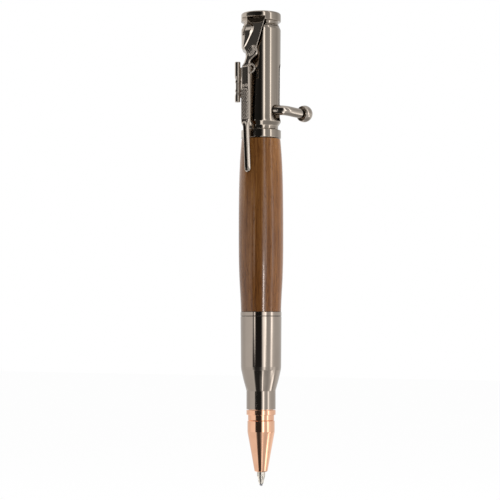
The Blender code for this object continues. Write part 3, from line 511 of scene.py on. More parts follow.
# %% Bare metals
refill_steel = metal("refill_metal", (0.66, 0.61, 0.54), (0.55, 0.50, 0.44), 0.20, rough_haze=0.15,
                     scratches=0.6, rings=7.0, ring_depth_mm=0.002)
bolt_steel = metal("turned_steel", (0.42, 0.39, 0.36), (0.32, 0.30, 0.28), 0.22, rough_haze=0.16,
                   haze=0.6, scratches=0.6, rings=6.0, ring_depth_mm=0.003)
brass = metal("drawn_brass", (0.80, 0.60, 0.28), (0.66, 0.46, 0.20), 0.22, rough_haze=0.20,
              haze=0.7, scratches=0.8, rings=4.0, ring_depth_mm=0.002)
spring_steel = metal("spring_wire", (0.60, 0.59, 0.57), (0.45, 0.44, 0.43), 0.18, rough_haze=0.15,
                     scratches=0.5)
tungsten = metal("ground_ball", (0.50, 0.50, 0.52), (0.42, 0.42, 0.44), 0.08, ripple=0.5, haze=0.4,
                 scratches=0.2)
print("bare metals:", refill_steel.name, bolt_steel.name, brass.name, spring_steel.name)

# %% [markdown]
# ## Wood
# The barrel is turned from a straight-grained brown hardwood and sealed. Growth rings are shells
# round the heart of the tree, which lay a few centimetres to one side of this small blank, so the
# ring pattern is a function of the distance to an upright line outside the barrel. Pores are short
# dark lines along the grain. Noise makes both: along that distance for the rings, and stretched
# along the barrel for the pores and the fibres.

# %% Grain of the wood
wood, tree = new_material("sealed_hardwood")
place = millimetres(tree)
sway = noise(tree, millimetres(tree, (1, 1, 0.18)), 0.11, 2.0, output="Color")
bent = vector_node(tree, "ADD", place, vector_node(tree, "MULTIPLY", sway, (5.0, 5.0, 0.0)))
from_heart = vector_node(tree, "ADD", bent, (31.0, 22.0, 0.0))
level = vector_node(tree, "MULTIPLY", from_heart, (1.0, 1.0, 0.0))
ring_distance = vector_node(tree, "LENGTH", level, output="Value")
ring_place = add_node(tree, "ShaderNodeCombineXYZ", {0: ring_distance}).outputs[0]
ring_wave = noise(tree, ring_place, 0.9, 3.0, 0.6)
fibre = noise(tree, millimetres(tree, (1, 1, 0.035)), 4.5, 5.0, 0.6)
pore_noise = noise(tree, millimetres(tree, (1, 1, 0.13)), 5.5, 2.0)
pores = ramp(tree, pore_noise, [(0.30, 1.0), (0.40, 0.0)])
print("grain of", wood.name)

# %% [markdown]
# The tone follows rings, fibres and broad blotches, and the wood is a little paler towards the cap.
# The clear seal is a thin coat: it lies over the fibres, gives the soft gloss and is thinner in the
# pores, which are left open.

# %% Tone and seal of the wood
blotch = noise(tree, millimetres(tree, (1, 1, 0.35)), 0.09, 3.0)
streak = math_node(tree, "MULTIPLY_ADD", ring_wave, 0.55, math_node(tree, "MULTIPLY", fibre, 0.45))
streak = math_node(tree, "MULTIPLY_ADD", blotch, 0.25, math_node(tree, "MULTIPLY", streak, 0.85))
height_up = add_node(tree, "ShaderNodeSeparateXYZ", {0: place}).outputs[2]
paler_per_mm, paler_at_cap = 0.0020, 0.125
paler = math_node(tree, "MULTIPLY_ADD", height_up, paler_per_mm, paler_at_cap)
streak = math_node(tree, "ADD", streak, math_node(tree, "MAXIMUM", paler, 0.0))
tone = ramp(tree, streak, [(0.36, (0.062, 0.017, 0.003)), (0.47, (0.145, 0.049, 0.009)),
                           (0.57, (0.240, 0.093, 0.020)), (0.68, (0.34, 0.152, 0.040))])
tone = mix_colours(tree, math_node(tree, "MULTIPLY", pores, 0.55), tone, (0.045, 0.016, 0.007, 1))
seal = math_node(tree, "SUBTRACT", 0.85, math_node(tree, "MULTIPLY", pores, 0.5))
shader = add_node(tree, "ShaderNodeBsdfPrincipled",
                  {"Base Color": tone, "Coat Weight": seal, "Coat Roughness": 0.15,
                   "IOR": 1.12})
rough = math_node(tree, "MULTIPLY_ADD", fibre, 0.20, 0.30)
tree.links.new(rough, shader.inputs["Roughness"])
relief = math_node(tree, "SUBTRACT", math_node(tree, "MULTIPLY", fibre, 0.35), pores)
bump = add_node(tree, "ShaderNodeBump", {"Height": relief, "Strength": 0.7, "Distance": 0.010 * MM})
tree.links.new(bump.outputs[0], shader.inputs["Normal"])
add_node(tree, "ShaderNodeOutputMaterial", {"Surface": shader.outputs[0]})
print("wood has", len(tree.nodes), "nodes")

# %% [markdown]
# ## Plastic and ink
# Two plain materials hide inside the pen: the refill's moulded end plug and the paste ink. Both get
# a fine mottled surface, since even black plastic shows its mould.

# %% Plastic and ink
def moulded(name, colour, shade, roughness, scale):
    """A mottled plastic or paste."""
    material, tree = new_material(name)
    mottle = noise(tree, millimetres(tree), scale, 4.0)
    rough = math_node(tree, "MULTIPLY_ADD", mottle, 0.12, roughness)
    bump = add_node(tree, "ShaderNodeBump", {"Height": mottle, "Distance": 0.01 * MM})
    shader = add_node(tree, "ShaderNodeBsdfPrincipled",
                      {"Base Color": mix_colours(tree, mottle, (*colour, 1), (*shade, 1)),
                       "Roughness": rough, "Normal": bump.outputs[0]})
    add_node(tree, "ShaderNodeOutputMaterial", {"Surface": shader.outputs[0]})
    return material


plug_plastic = moulded("moulded_plastic", (0.035, 0.035, 0.04), (0.06, 0.06, 0.065), 0.38, 3.0)
paste_ink = moulded("paste_ink", (0.008, 0.008, 0.03), (0.012, 0.014, 0.05), 0.25, 1.5)
print("materials:", len(bpy.data.materials))

# %% [markdown]
# ## Turned pieces
# Most of the pen comes off a lathe. Such a piece is one outline spun round the axis. The packed
# solids have few sides, which a mirror finish would show, so the visible ones are spun again with
# many more. Real edges are never sharp: each corner of the outline gets a tiny arc, which catches
# the bright lines that make metal look machined.

# %% Outlines
straight = math.radians(177)
longest_cut = 0.48


def soften(outline, radius, steps=4):
    """Round the corners of an open (radius, height) outline; a third value is a corner's own arc."""
    rounded = [outline[0][:2]]
    for before, corner, after in zip(outline, outline[1:], outline[2:]):
        arc = corner[2] if len(corner) > 2 else radius
        middle = Vector(corner[:2])
        back = Vector(before[:2]) - middle
        ahead = Vector(after[:2]) - middle
        bend = back.angle(ahead)
        if arc <= 0 or bend > straight:
            rounded.append(tuple(middle))
            continue
        cut = min(arc / math.tan(bend / 2), back.length * longest_cut, ahead.length * longest_cut)
        arc = cut * math.tan(bend / 2)
        start = middle + back / back.length * cut
        end = middle + ahead / ahead.length * cut
        centre = middle + ((back / back.length + ahead / ahead.length).normalized()
                           * (arc / math.sin(bend / 2)))
        first = math.atan2(start.y - centre.y, start.x - centre.x)
        sweep = math.atan2(end.y - centre.y, end.x - centre.x) - first
        sweep = (sweep + math.pi) % math.tau - math.pi
        for step in range(steps + 1):
            angle = first + sweep * step / steps
            rounded.append((centre.x + arc * math.cos(angle), centre.y + arc * math.sin(angle)))
    rounded.append(outline[-1][:2])
    return rounded


def solid_outline(outer, edge):
    """The softened outline of a piece without a bore, which starts and ends on the axis."""
    return soften([(0, outer[0][1])] + list(outer) + [(0, outer[-1][1])], edge)


print("a softened corner has", len(soften([(0, 0), (1, 0), (1, 1)], 0.1)) - 2, "points")

# %% [markdown]
# A Screw modifier could spin the outlines. Writing the rings of points out instead lets an outline
# that ends on the axis close in a single point, and gives every piece plain four-sided faces.

# %% Lathe
def new_mesh(name, verts, faces):
    """A mesh from points and faces."""
    mesh = bpy.data.meshes.new(name)
    mesh.from_pydata(verts, [], faces)
    return mesh


def spin(outline, sides, closed):
    """Vertices and faces of an outline spun round Z; a closed outline has a bore."""
    verts, faces, rings = [], [], []
    for radius, height in outline:
        ring = []
        for index in range(sides if radius > 0 else 1):
            angle = math.tau * index / sides
            ring.append(len(verts))
            verts.append((radius * math.cos(angle), radius * math.sin(angle), height))
        rings.append(ring)
    pairs = list(zip(rings, rings[1:]))
    if closed:
        pairs.append((rings[-1], rings[0]))
    for lower, upper in pairs:
        for index in range(sides):
            following = (index + 1) % sides
            if len(lower) == 1 and len(upper) == 1:
                continue
            if len(lower) == 1:
                faces.append((lower[0], upper[following], upper[index]))
            elif len(upper) == 1:
                faces.append((lower[index], lower[following], upper[0]))
            else:
                faces.append((lower[index], lower[following], upper[following], upper[index]))
    return verts, faces


def turned_mesh(name, outer, bore=None, sides=192, edge=0.06):
    """A mesh spun from millimetre outlines, both listed from the writing end up."""
    if bore is None:
        outline = solid_outline(outer, edge)
    else:
        outline = soften(list(outer) + list(reversed(bore)) + [outer[0]], edge)[:-1]
    metres = [(radius * MM, tip_z + height * MM) for radius, height in outline]
    return new_mesh(name, *spin(metres, sides, bore is not None))


print("a spun tube with four corners has", len(spin([(1, 0), (2, 0), (2, 1), (1, 1)], 96, True)[1]),
      "faces")

# %% [markdown]
# Polished metal shows every fault of its shading. Plain smooth shading would bend the broad faces
# beside each small arc. Weighing the normals by the area of the faces keeps the broad faces flat and
# lets only the arcs bend. That needs faces of a fair size, so it is done while the mesh is a
# thousand times larger.

# %% Shading and places in the pen
def evaluated_mesh(holder):
    """The mesh that an object shows with its modifiers; the object is then removed."""
    bpy.context.view_layer.update()
    shown = bpy.data.meshes.new_from_object(
        holder.evaluated_get(bpy.context.evaluated_depsgraph_get()))
    bpy.data.objects.remove(holder)
    return shown


def even_shading(mesh, sharp_deg):
    """Smooth shading with flat broad faces and creases over a number of degrees."""
    mesh.shade_smooth()
    mesh.set_sharp_from_angle(angle=math.radians(sharp_deg))
    mesh.transform(Matrix.Scale(1 / MM, 4))
    holder = add_object("shading", mesh)
    even = holder.modifiers.new("even_shading", "WEIGHTED_NORMAL")
    even.keep_sharp = True
    shaded = evaluated_mesh(holder)
    bpy.data.meshes.remove(mesh)
    shaded.transform(Matrix.Scale(MM, 4))
    return shaded


def finish_piece(name, mesh, material, body, nodes=(), sharp_deg=32):
    """Shade a mesh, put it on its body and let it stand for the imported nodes."""
    if len(mesh.materials) < 2:
        mesh.materials.clear()
        mesh.materials.append(material)
    mesh = even_shading(mesh, sharp_deg)
    mesh.name = name
    piece = add_object(name, mesh)
    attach(piece, body)
    if nodes:
        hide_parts(*nodes)
    print(f"{name}: {len(mesh.polygons)} faces on {body}")
    return piece


# %% [markdown]
# ### Writing point and refill
# The bare point is a slim steel cone with the ball in its mouth. Behind it come the refill's nose,
# its tube and its plug. They show when the front is taken off.

# %% Refill
turned = turned_mesh("writing_point", [
    (0.60, 0.70, 0.02), (0.72, 1.00, 0.05), (0.90, 1.90, 0.3), (1.17, 2.90, 0.15), (1.17, 14.30),
    (0.90, 14.30), (0.90, 16.60),
], bore=[(0.57, 0.72, 0), (0.43, 0.92, 0), (0.25, 1.05, 0), (0.25, 16.60, 0)], sides=96, edge=0.03)
finish_piece("writing_point", turned, refill_steel, "carriage", ["writing_tip"])

turned = turned_mesh("refill_shoulder", [
    (1.70, 14.50), (2.00, 14.80), (2.00, 22.30), (2.95, 22.30), (2.95, 22.60), (2.50, 22.60),
    (2.50, 25.25),
], bore=[(1.02, 14.50, 0), (1.02, 16.90, 0), (0.50, 16.90, 0), (0.50, 25.25, 0)], sides=96)
finish_piece("refill_shoulder", turned, refill_steel, "carriage", ["refill_nose"])

turned = turned_mesh("refill_barrel", [(2.95, 22.80), (2.95, 96.40)],
                     bore=[(2.70, 22.80, 0), (2.70, 96.40, 0)], sides=96, edge=0.05)
finish_piece("refill_barrel", turned, refill_steel, "carriage", ["refill_tube"])

# %% [markdown]
# ### Return spring
# One unbroken wire runs in nine turns between a seat in the cone and the refill's shoulder. A curve
# with a round bevel is the plain way to make it; it is turned into a mesh at once. It rides on the
# carriage.

# %% Spring
def tube_mesh(name, points, radius_mm, ring_sides=3):
    """A round wire along points in metres, as a mesh."""
    curve = bpy.data.curves.new(name, "CURVE")
    curve.dimensions = "3D"
    curve.bevel_depth = radius_mm * MM
    curve.bevel_resolution = ring_sides
    curve.use_fill_caps = True
    spline = curve.splines.new("POLY")
    spline.points.add(len(points) - 1)
    for target, point in zip(spline.points, points):
        target.co = (*point, 1)
    mesh = evaluated_mesh(add_object(name, curve))
    bpy.data.curves.remove(curve)
    return mesh


coil_radius, wire_radius = 2.35, 0.20
spring_turns, steps_per_turn = 9, 32
spring_low, spring_high = 13.40, 21.90
coil = []
for index in range(spring_turns * steps_per_turn + 1):
    angle = math.tau * index / steps_per_turn
    rise = spring_low + (spring_high - spring_low) * index / (spring_turns * steps_per_turn)
    coil.append((coil_radius * MM * math.cos(angle), coil_radius * MM * math.sin(angle),
                 tip_z + rise * MM))
return_spring = finish_piece("return_spring", tube_mesh("return_spring", coil, wire_radius),
                             spring_steel, "carriage", ["refill_spring"])
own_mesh(return_spring)

# %% [markdown]
# ### Front cone
# The copper-plated cone is nearly straight from its mouth to a crisp shoulder, then comes a short
# cylinder, a fine groove, a band and a flange that meets the case.

# %% Cone
turned = turned_mesh("copper_cone", [
    (1.55, 4.10, 0.03), (1.88, 4.30, 0.25), (2.83, 9.60, 9.0), (3.86, 15.15, 0.5), (3.92, 15.60, 0.3),
    (3.92, 18.68, 0.04), (3.62, 18.80, 0.03), (3.76, 18.92, 0.04), (3.76, 20.40, 0.02),
    (4.20, 20.40, 0.10), (4.20, 21.80, 0.08), (3.55, 21.80, 0.02), (3.55, 27.00, 0.1),
], bore=[(1.29, 4.10, 0.02), (1.29, 11.00, 0), (1.70, 13.00, 0), (2.75, 13.00, 0), (2.75, 19.50, 0),
         (3.10, 19.50, 0), (3.10, 27.00, 0)], edge=0.05)
finish_piece("copper_cone", turned, copper, "front_section", ["nib"])

# %% [markdown]
# ### Front case
# The case is shaped like a bottleneck: a straight neck, a smooth shoulder and a body that widens a
# little towards the barrel. The shoulder bends softly at both ends, so its two corners get wide
# arcs while the rims keep tiny ones. The shoulder is also bowed out a little, which a very wide arc
# in its middle gives.

# %% Case
turned = turned_mesh("bottleneck_case", [
    (4.20, 22.00, 0.08), (4.20, 27.30, 1.2), (5.04, 30.30, 100.0), (5.72, 33.30, 2.0),
    (5.80, 34.20, 2.0), (5.93, 48.60, 0.04), (4.82, 48.60, 0.05),
], bore=[(3.67, 22.00, 0.05), (3.67, 28.70, 0), (4.20, 34.20, 0), (4.20, 40.70, 0), (4.82, 40.70, 0)],
    edge=0.08)
finish_piece("bottleneck_case", turned, gunmetal, "front_section", ["front_case"])

# %% [markdown]
# ### Coupler
# Only a thin ring of the coupler shows between the case and the wood, with a fine dark joint on each
# side. Plain gaps would be too narrow to stay dark in bright metal, so each joint is a shallow
# recess painted black, as painted shade for the gap. Below the ring a row of thread crests carries
# the case.

# %% Coupler
thread_low, thread_high, crests = 41.55, 47.90, 13
thread = []
for index in range(crests):
    foot = thread_low + index * (thread_high - thread_low) / crests
    thread += [(4.45, foot, 0), (4.70, foot + 0.22, 0.02)]
turned = turned_mesh("threaded_ring", thread + [
    (4.45, thread_high, 0), (4.45, 48.62, 0), (5.72, 48.62, 0), (5.72, 48.76, 0),
    (5.92, 48.76, 0.04), (5.92, 49.86, 0.04), (5.72, 49.86, 0), (5.72, 49.96, 0),
    (4.92, 49.96, 0), (4.92, 49.20, 0), (4.23, 49.20, 0.0), (4.23, 57.20, 0.1),
], bore=[(3.40, thread_low, 0.05), (3.40, 57.20, 0.05)], sides=160)
for finish in (gunmetal, joint_painted_shade):
    turned.materials.append(finish)
# the faces of the joint recesses take the painted shade
for face in turned.polygons:
    if 5.66 < face.center.xy.length / MM < 5.86:
        face.material_index = 1
finish_piece("threaded_ring", turned, gunmetal, "barrel_group", ["front_coupler"])

# %% [markdown]
# ### Barrel
# The wooden barrel swells by three quarters of a millimetre between its ends. The outline is a
# smooth curve through a few measured swells, spun round the brass tube.

# %% Barrel
barrel_low, barrel_high, barrel_steps = 49.98, 99.80, 60
front_radius, back_radius, swell = 5.77, 5.63, 0.75
swell_shares = [(0.00, 0.00), (0.05, 0.13), (0.10, 0.30), (0.16, 0.55), (0.24, 0.79), (0.35, 0.95),
                (0.50, 1.00), (0.65, 0.97), (0.76, 0.87), (0.84, 0.70), (0.90, 0.50), (0.95, 0.26),
                (1.00, 0.00)]


def smooth_table(table, value):
    """A value between the rows of a table, on a smooth curve through them."""
    index = max(i for i, row in enumerate(table[:-1]) if row[0] <= value or i == 0)
    (x0, y0), (x1, y1) = table[index], table[index + 1]
    before = table[index - 1] if index > 0 else table[index]
    after = table[index + 2] if index + 2 < len(table) else table[index + 1]
    slope_0 = (y1 - before[1]) / (x1 - before[0])
    slope_1 = (after[1] - y0) / (after[0] - x0)
    t = min(max((value - x0) / (x1 - x0), 0), 1)
    width = x1 - x0
    return ((2 * t ** 3 - 3 * t ** 2 + 1) * y0 + (t ** 3 - 2 * t ** 2 + t) * width * slope_0
            + (3 * t ** 2 - 2 * t ** 3) * y1 + (t ** 3 - t ** 2) * width * slope_1)


outer = []
for index in range(barrel_steps + 1):
    share = index / barrel_steps
    line = front_radius + (back_radius - front_radius) * share
    arc = {0: 0.05, barrel_steps: 0.12}.get(index, 0)
    outer.append((line + swell * smooth_table(swell_shares, share),
                  barrel_low + (barrel_high - barrel_low) * share, arc))
turned = turned_mesh("wooden_barrel", outer, bore=[(4.87, barrel_low, 0), (4.87, barrel_high, 0)])
wooden_barrel = finish_piece("wooden_barrel", turned, wood, "barrel_group", ["barrel"])

# %% [markdown]
# The sealed wood carries a white streak on its lower half that the bare metal beside it doesn't
# repeat. A narrow lamp makes it. Its light is linked to the barrel alone, and it adds shine only.

# %% Streak on the wood
glint = soft_lamp("wood_glint", 13.5, -30, 330, 28, 0.11)
glint.data.shape = "RECTANGLE"
glint.data.size_y = 47 * MM
glint.data.color = (1.0, 0.90, 0.85)
glint.data.diffuse_factor = 0.0
glint.visible_glossy = True
receivers = bpy.data.collections.new("wood_glint_receivers")
receivers.objects.link(wooden_barrel)
glint.light_linking.receiver_collection = receivers
print("lamp for the wood:", glint.name)

# %% [markdown]
# ## Bolt housing
# The housing is a turned tube with a flange, a neck and a bead at its foot. A J-shaped slot is
# milled through its right side, a sloping pocket takes the stock of the clip, and a flat is milled
# on the scope's side. Cutting a spun mesh with solid cutters is how the real piece is made too. A
# cutter that has a finish of its own leaves it on the face that it cuts.

# %% Cutting
def carve(mesh, cutters):
    """Subtract closed cutter meshes from a mesh and give back the result."""
    base = add_object("carve_base", mesh)
    tools = [add_object(f"carve_tool_{index}", cutter) for index, cutter in enumerate(cutters)]
    for index, tool in enumerate(tools):
        modifier = base.modifiers.new(f"cut_{index}", "BOOLEAN")
        modifier.operation = "DIFFERENCE"
        modifier.solver = "EXACT"
        modifier.material_mode = "TRANSFER"
        modifier.object = tool
    result = evaluated_mesh(base)
    for tool in tools:
        bpy.data.objects.remove(tool)
    result.name = mesh.name
    return result


def outward_mesh(name, verts, faces):
    """A mesh from points and faces, with every face turned outwards."""
    mesh = new_mesh(name, verts, faces)
    bm = bmesh.new()
    bm.from_mesh(mesh)
    bmesh.ops.recalc_face_normals(bm, faces=bm.faces)
    bm.to_mesh(mesh)
    bm.free()
    return mesh


def hull_mesh(name, corners):
    """A closed convex mesh round some corners, in metres."""
    bm = bmesh.new()
    for corner in corners:
        bm.verts.new(corner)
    bmesh.ops.convex_hull(bm, input=bm.verts)
    bmesh.ops.recalc_face_normals(bm, faces=bm.faces)
    mesh = bpy.data.meshes.new(name)
    bm.to_mesh(mesh)
    bm.free()
    return mesh


print("cutting helpers: carve, outward mesh, hull mesh")

# %% [markdown]
# These cutters are placed by an angle that is counted from the clip and a reach from the axis. The
# slots' cutters reach from inside the bore to outside the wall.

# %% Cutters
slot_inner, slot_outer = 2.2, 8.0


def turned_point(turn, reach, across, height):
    """A point in metres: outwards at an angle from the axis, a step to the side, and a height."""
    return ((reach * math.cos(turn) - across * math.sin(turn)) * MM,
            (reach * math.sin(turn) + across * math.cos(turn)) * MM,
            tip_z + height * MM)


def radial_slot(name, low_mm, high_mm, angle_deg, width_mm=3.20, steps=12):
    """A round-ended cutter through the wall at one angle from the clip."""
    half = width_mm / 2
    outline = []
    for centre, start in ((low_mm + half, 180), (high_mm - half, 0)):
        for step in range(steps + 1):
            angle = math.radians(start + 180 * step / steps)
            outline.append((half * math.cos(angle), centre + half * math.sin(angle)))
    turn = math.radians(angle_deg - 90)
    return hull_mesh(name, [turned_point(turn, reach, across, height)
                            for reach in (slot_inner, slot_outer) for across, height in outline])


def prism_mesh(name, outline, half_width, angle_deg):
    """A cutter with a (reach, height) outline, as wide as given, at one angle from the clip."""
    turn = math.radians(angle_deg - 90)
    count = len(outline)
    verts = [turned_point(turn, reach, across, height)
             for across in (-half_width, half_width) for reach, height in outline]
    faces = [tuple(range(count)), tuple(reversed(range(count, 2 * count)))]
    for index in range(count):
        following = (index + 1) % count
        faces.append((index, index + count, following + count, following))
    return outward_mesh(name, verts, faces)


def turn_slot(name, low_mm, high_mm, first_deg, last_deg, steps=16):
    """A cutter swept round the axis between two angles from the clip."""
    verts, faces = [], []
    for step in range(steps + 1):
        turn = math.radians(first_deg + (last_deg - first_deg) * step / steps - 90)
        for reach, height in ((slot_inner, low_mm), (slot_outer, low_mm), (slot_outer, high_mm),
                              (slot_inner, high_mm)):
            verts.append(turned_point(turn, reach, 0.0, height))
    for step in range(steps):
        a, b = 4 * step, 4 * (step + 1)
        for corner in range(4):
            following = (corner + 1) % 4
            faces.append((a + corner, a + following, b + following, b + corner))
    end = 4 * steps
    faces += [(3, 2, 1, 0), (end, end + 1, end + 2, end + 3)]
    return outward_mesh(name, verts, faces)


print("slot cutters reach from", slot_inner, "to", slot_outer, "mm")

# %% [markdown]
# The clip's stock sinks into the housing on a slope. The same few values place the pocket here and
# the stock further down, so that the two always fit. The pocket's side towards the sight is a broad
# chamfer with a satin finish, which shows as a dull band beside the polish.

# %% Pocket for the stock
rifle_low, rifle_high = 89.80, 134.70
receiver_reach, butt_reach = 8.40, 3.60
receiver_share, sight_share = 0.672, 0.449
receiver_end = rifle_low + receiver_share * (rifle_high - rifle_low)
stock_slope = (receiver_reach - butt_reach) / (rifle_high - receiver_end)
stock_thickness = 1.10
pocket_gap = 0.25
print(f"receiver ends at {receiver_end:.2f} mm, stock slope {stock_slope:.3f}")


def clip_point(across, reach, height):
    """A point in metres: across towards the sight, outwards from the axis, and up."""
    return (-across * MM, -reach * MM, tip_z + height * MM)


def stock_face(height):
    """How far the stock's plain face stands from the axis at a height."""
    return butt_reach + stock_slope * (rifle_high - height)


def pocket_mesh(name):
    """The sloping pocket as a closed cutter."""
    corners = []
    for height, left, right in ((123.20, -2.60, 1.62), (134.95, -3.85, 2.22)):
        floor = stock_face(height) - stock_thickness - pocket_gap
        for across in (left - pocket_gap, right + 0.10):
            for reach in (floor, 9.0):
                corners.append(clip_point(across, reach, height))
    return hull_mesh(name, corners)


def pocket_side(name):
    """The broad chamfer on the pocket's side towards the sight, as a closed cutter."""
    outline = ((2.20, 3.60), (1.20, 3.60), (1.20, 9.00), (5.60, 7.00), (5.60, 9.00))
    mesh = hull_mesh(name, [clip_point(across, reach, height)
                            for height in (129.70, 134.95) for across, reach in outline])
    mesh.materials.append(satin_gunmetal)
    return mesh


# %% [markdown]
# The J of the slot has three parts: a notch in which the handle locks, a way round the axis, and the
# long run, a little wider, that lies further round. The flat beside the sight ends in a step that
# rolls over into the round of the tube.

# %% Housing
lock_deg, slot_deg = 84.0, 118.5
notch_low, notch_high, slot_high = 104.90, 109.40, 121.70
turned = turned_mesh("bolt_housing", [
    (4.23, 94.00, 0.1), (4.23, 100.00, 0), (5.79, 100.00, 0.12), (5.79, 102.30, 0.16),
    (4.98, 102.55, 0.22), (4.98, 103.55, 0.5), (5.74, 104.65, 0.5), (5.74, 105.25, 0.9),
    (5.60, 106.50, 2.5), (5.57, 108.50, 6.0), (5.75, 131.60, 0.12), (5.42, 132.40, 0.08),
], bore=[(3.20, 94.00, 0.05), (3.20, 102.85, 0), (3.70, 102.85, 0), (3.70, 132.40, 0.05)], sides=256)
relief_low, relief_high, relief_depth, relief_round = 106.60, 125.40, 4.30, 1.40
relief_reach, relief_half_width, relief_deg, relief_steps = 9.0, 7.0, -57.0, 12
relief_outline = [(relief_depth, relief_low), (relief_reach, relief_low),
                  (relief_reach, relief_high + relief_round)]
for step in range(relief_steps + 1):
    angle = math.radians(-90 * step / relief_steps)
    relief_outline.append((relief_depth + relief_round * math.cos(angle),
                           relief_high + relief_round + relief_round * math.sin(angle)))
turned.materials.append(filed_gunmetal)
turned = carve(turned, [
    radial_slot("lock_slot", notch_low, notch_high, lock_deg),
    turn_slot("turn_slot", notch_low, notch_high, lock_deg, slot_deg),
    radial_slot("long_slot", notch_low, slot_high, slot_deg, 3.45),
    pocket_mesh("stock_pocket"),
    pocket_side("stock_chamfer"),
    prism_mesh("scope_relief", relief_outline, relief_half_width, relief_deg),
])
finish_piece("bolt_housing", turned, filed_gunmetal, "barrel_group", ["cap_body"])

# %% [markdown]
# ### Head
# The head is shaped like the base of a cartridge: a rim with soft edges, a groove under it and a
# short cone down to the joint with the housing. The same pocket cuts into it.

# %% Head
turned = turned_mesh("housing_head", [
    (3.45, 130.00, 0), (3.58, 130.25, 0), (3.58, 132.60, 0), (5.36, 132.60, 0.05),
    (5.06, 133.10, 0.10), (5.06, 133.90, 0.12), (5.79, 133.90, 0.25), (5.79, 136.50, 0.60),
], sides=256)
turned.materials.append(filed_gunmetal)
turned = carve(turned, [pocket_mesh("head_pocket"), pocket_side("head_chamfer")])
finish_piece("housing_head", turned, filed_gunmetal, "barrel_group", ["cap_head"])

# %% [markdown]
# ## Bolt handle
# The handle is a round bar with a ball knob. It leaves the slot straight out and then sweeps round
# the housing, like the bolt handle of a rifle. The ball is cut flat where the bar meets it. All
# three pieces are spun straight and then bent by one function, so that they stay in line.

# %% Handle
arm_radius = 1.40
arm_height = notch_high - 0.20 - arm_radius
bend_start, bend_radius, bend_angle = 5.40, 3.20, math.radians(80.0)
bend_length = bend_radius * bend_angle
arm_end = bend_start + bend_length + 4.50
arm_drop = 0.55
knob_radius, knob_face = 2.43, 1.10
knob_middle = arm_end + knob_face
handle_frame = (Matrix.Translation((0, 0, tip_z + arm_height * MM))
                @ Matrix.Rotation(math.radians(lock_deg - 90), 4, "Z") @ Matrix.Scale(MM, 4))
lie_down = Matrix.Rotation(math.radians(90), 4, "Y")


def handle_mesh(name, outline, sides, edge):
    """A piece spun along the handle's own line, bent with it and set in place."""
    mesh = new_mesh(name, *spin(solid_outline(outline, edge), sides, False))
    mesh.transform(lie_down)
    for vert in mesh.vertices:
        along, side, rise = vert.co
        past = along - bend_start
        if past > 0:
            angle = min(past / bend_radius, bend_angle)
            rest = max(past - bend_length, 0)
            share = min(past / (arm_end - bend_start), 1)
            vert.co = (bend_start + (bend_radius - side) * math.sin(angle) + rest * math.cos(angle),
                       bend_radius - (bend_radius - side) * math.cos(angle) + rest * math.sin(angle),
                       rise - arm_drop * share * share * (3 - 2 * share))
    mesh.transform(handle_frame)
    return mesh


print(f"handle: bar of {arm_end:.1f} mm along its bend, knob of {2 * knob_radius:.2f} mm")

# %% [markdown]
# The bar starts with a tenon that sits in the plunger and ends with a pin in the ball. Many short
# lengths between them let it bend smoothly.

# %% Arm
arm_steps = 40
arm_outline = [(0.85, 1.00, 0.05), (0.85, 3.75, 0), (arm_radius, 3.75, 0.2), (arm_radius, 4.8, 0)]
for step in range(arm_steps + 1):
    arm_outline.append((arm_radius, bend_start + (arm_end - 0.6 - bend_start) * step / arm_steps, 0))
arm_outline += [(arm_radius, arm_end - 0.2, 0.2), (0.70, arm_end - 0.2, 0),
                (0.70, arm_end + 1.10, 0.05)]
finish_piece("bolt_handle", handle_mesh("bolt_handle", arm_outline, 96, 0.05), cast_gunmetal_with_painted_sheen,
             "bolt", ["bolt_arm"])

# %% [markdown]
# The ball is an arc spun round the same line, cut flat on both sides. A round screw head closes its
# outer face.

# %% Knob
knob_outline = []
knob_steps, outer_flat = 30, 1.15
first, last = -math.asin(knob_face / knob_radius), math.acos(outer_flat / knob_radius)
for step in range(knob_steps + 1):
    angle = first + (last - first) * step / knob_steps
    knob_outline.append((knob_radius * math.cos(angle), knob_middle + knob_radius * math.sin(angle),
                         {0: 0.22, knob_steps: 0.08}.get(step, 0)))
finish_piece("knob_ball", handle_mesh("knob_ball", knob_outline, 96, 0.05), cast_gunmetal_with_painted_sheen, "bolt",
             ["bolt_knob"])

screw_seat = knob_middle + knob_radius * math.sin(last)
screw_outline = [(0.50, screw_seat - 1.1, 0), (0.88, screw_seat - 0.2, 0),
                 (0.88, screw_seat + 0.02, 0.08), (0.45, screw_seat + 0.10, 0)]
finish_piece("knob_end_screw", handle_mesh("knob_end_screw", screw_outline, 64, 0.04), bolt_steel,
             "bolt", ["knob_screw"])

# %% [markdown]
# ## Rifle-shaped clip
# The clip is one casting in the shape of a scoped sporting rifle, muzzle down. A casting has no
# sharp steps, so its face is built as a relief: a fine grid follows the outline, and each point's
# height is worked out from the rifle's parts. Soft edges come from the distance to the outline.

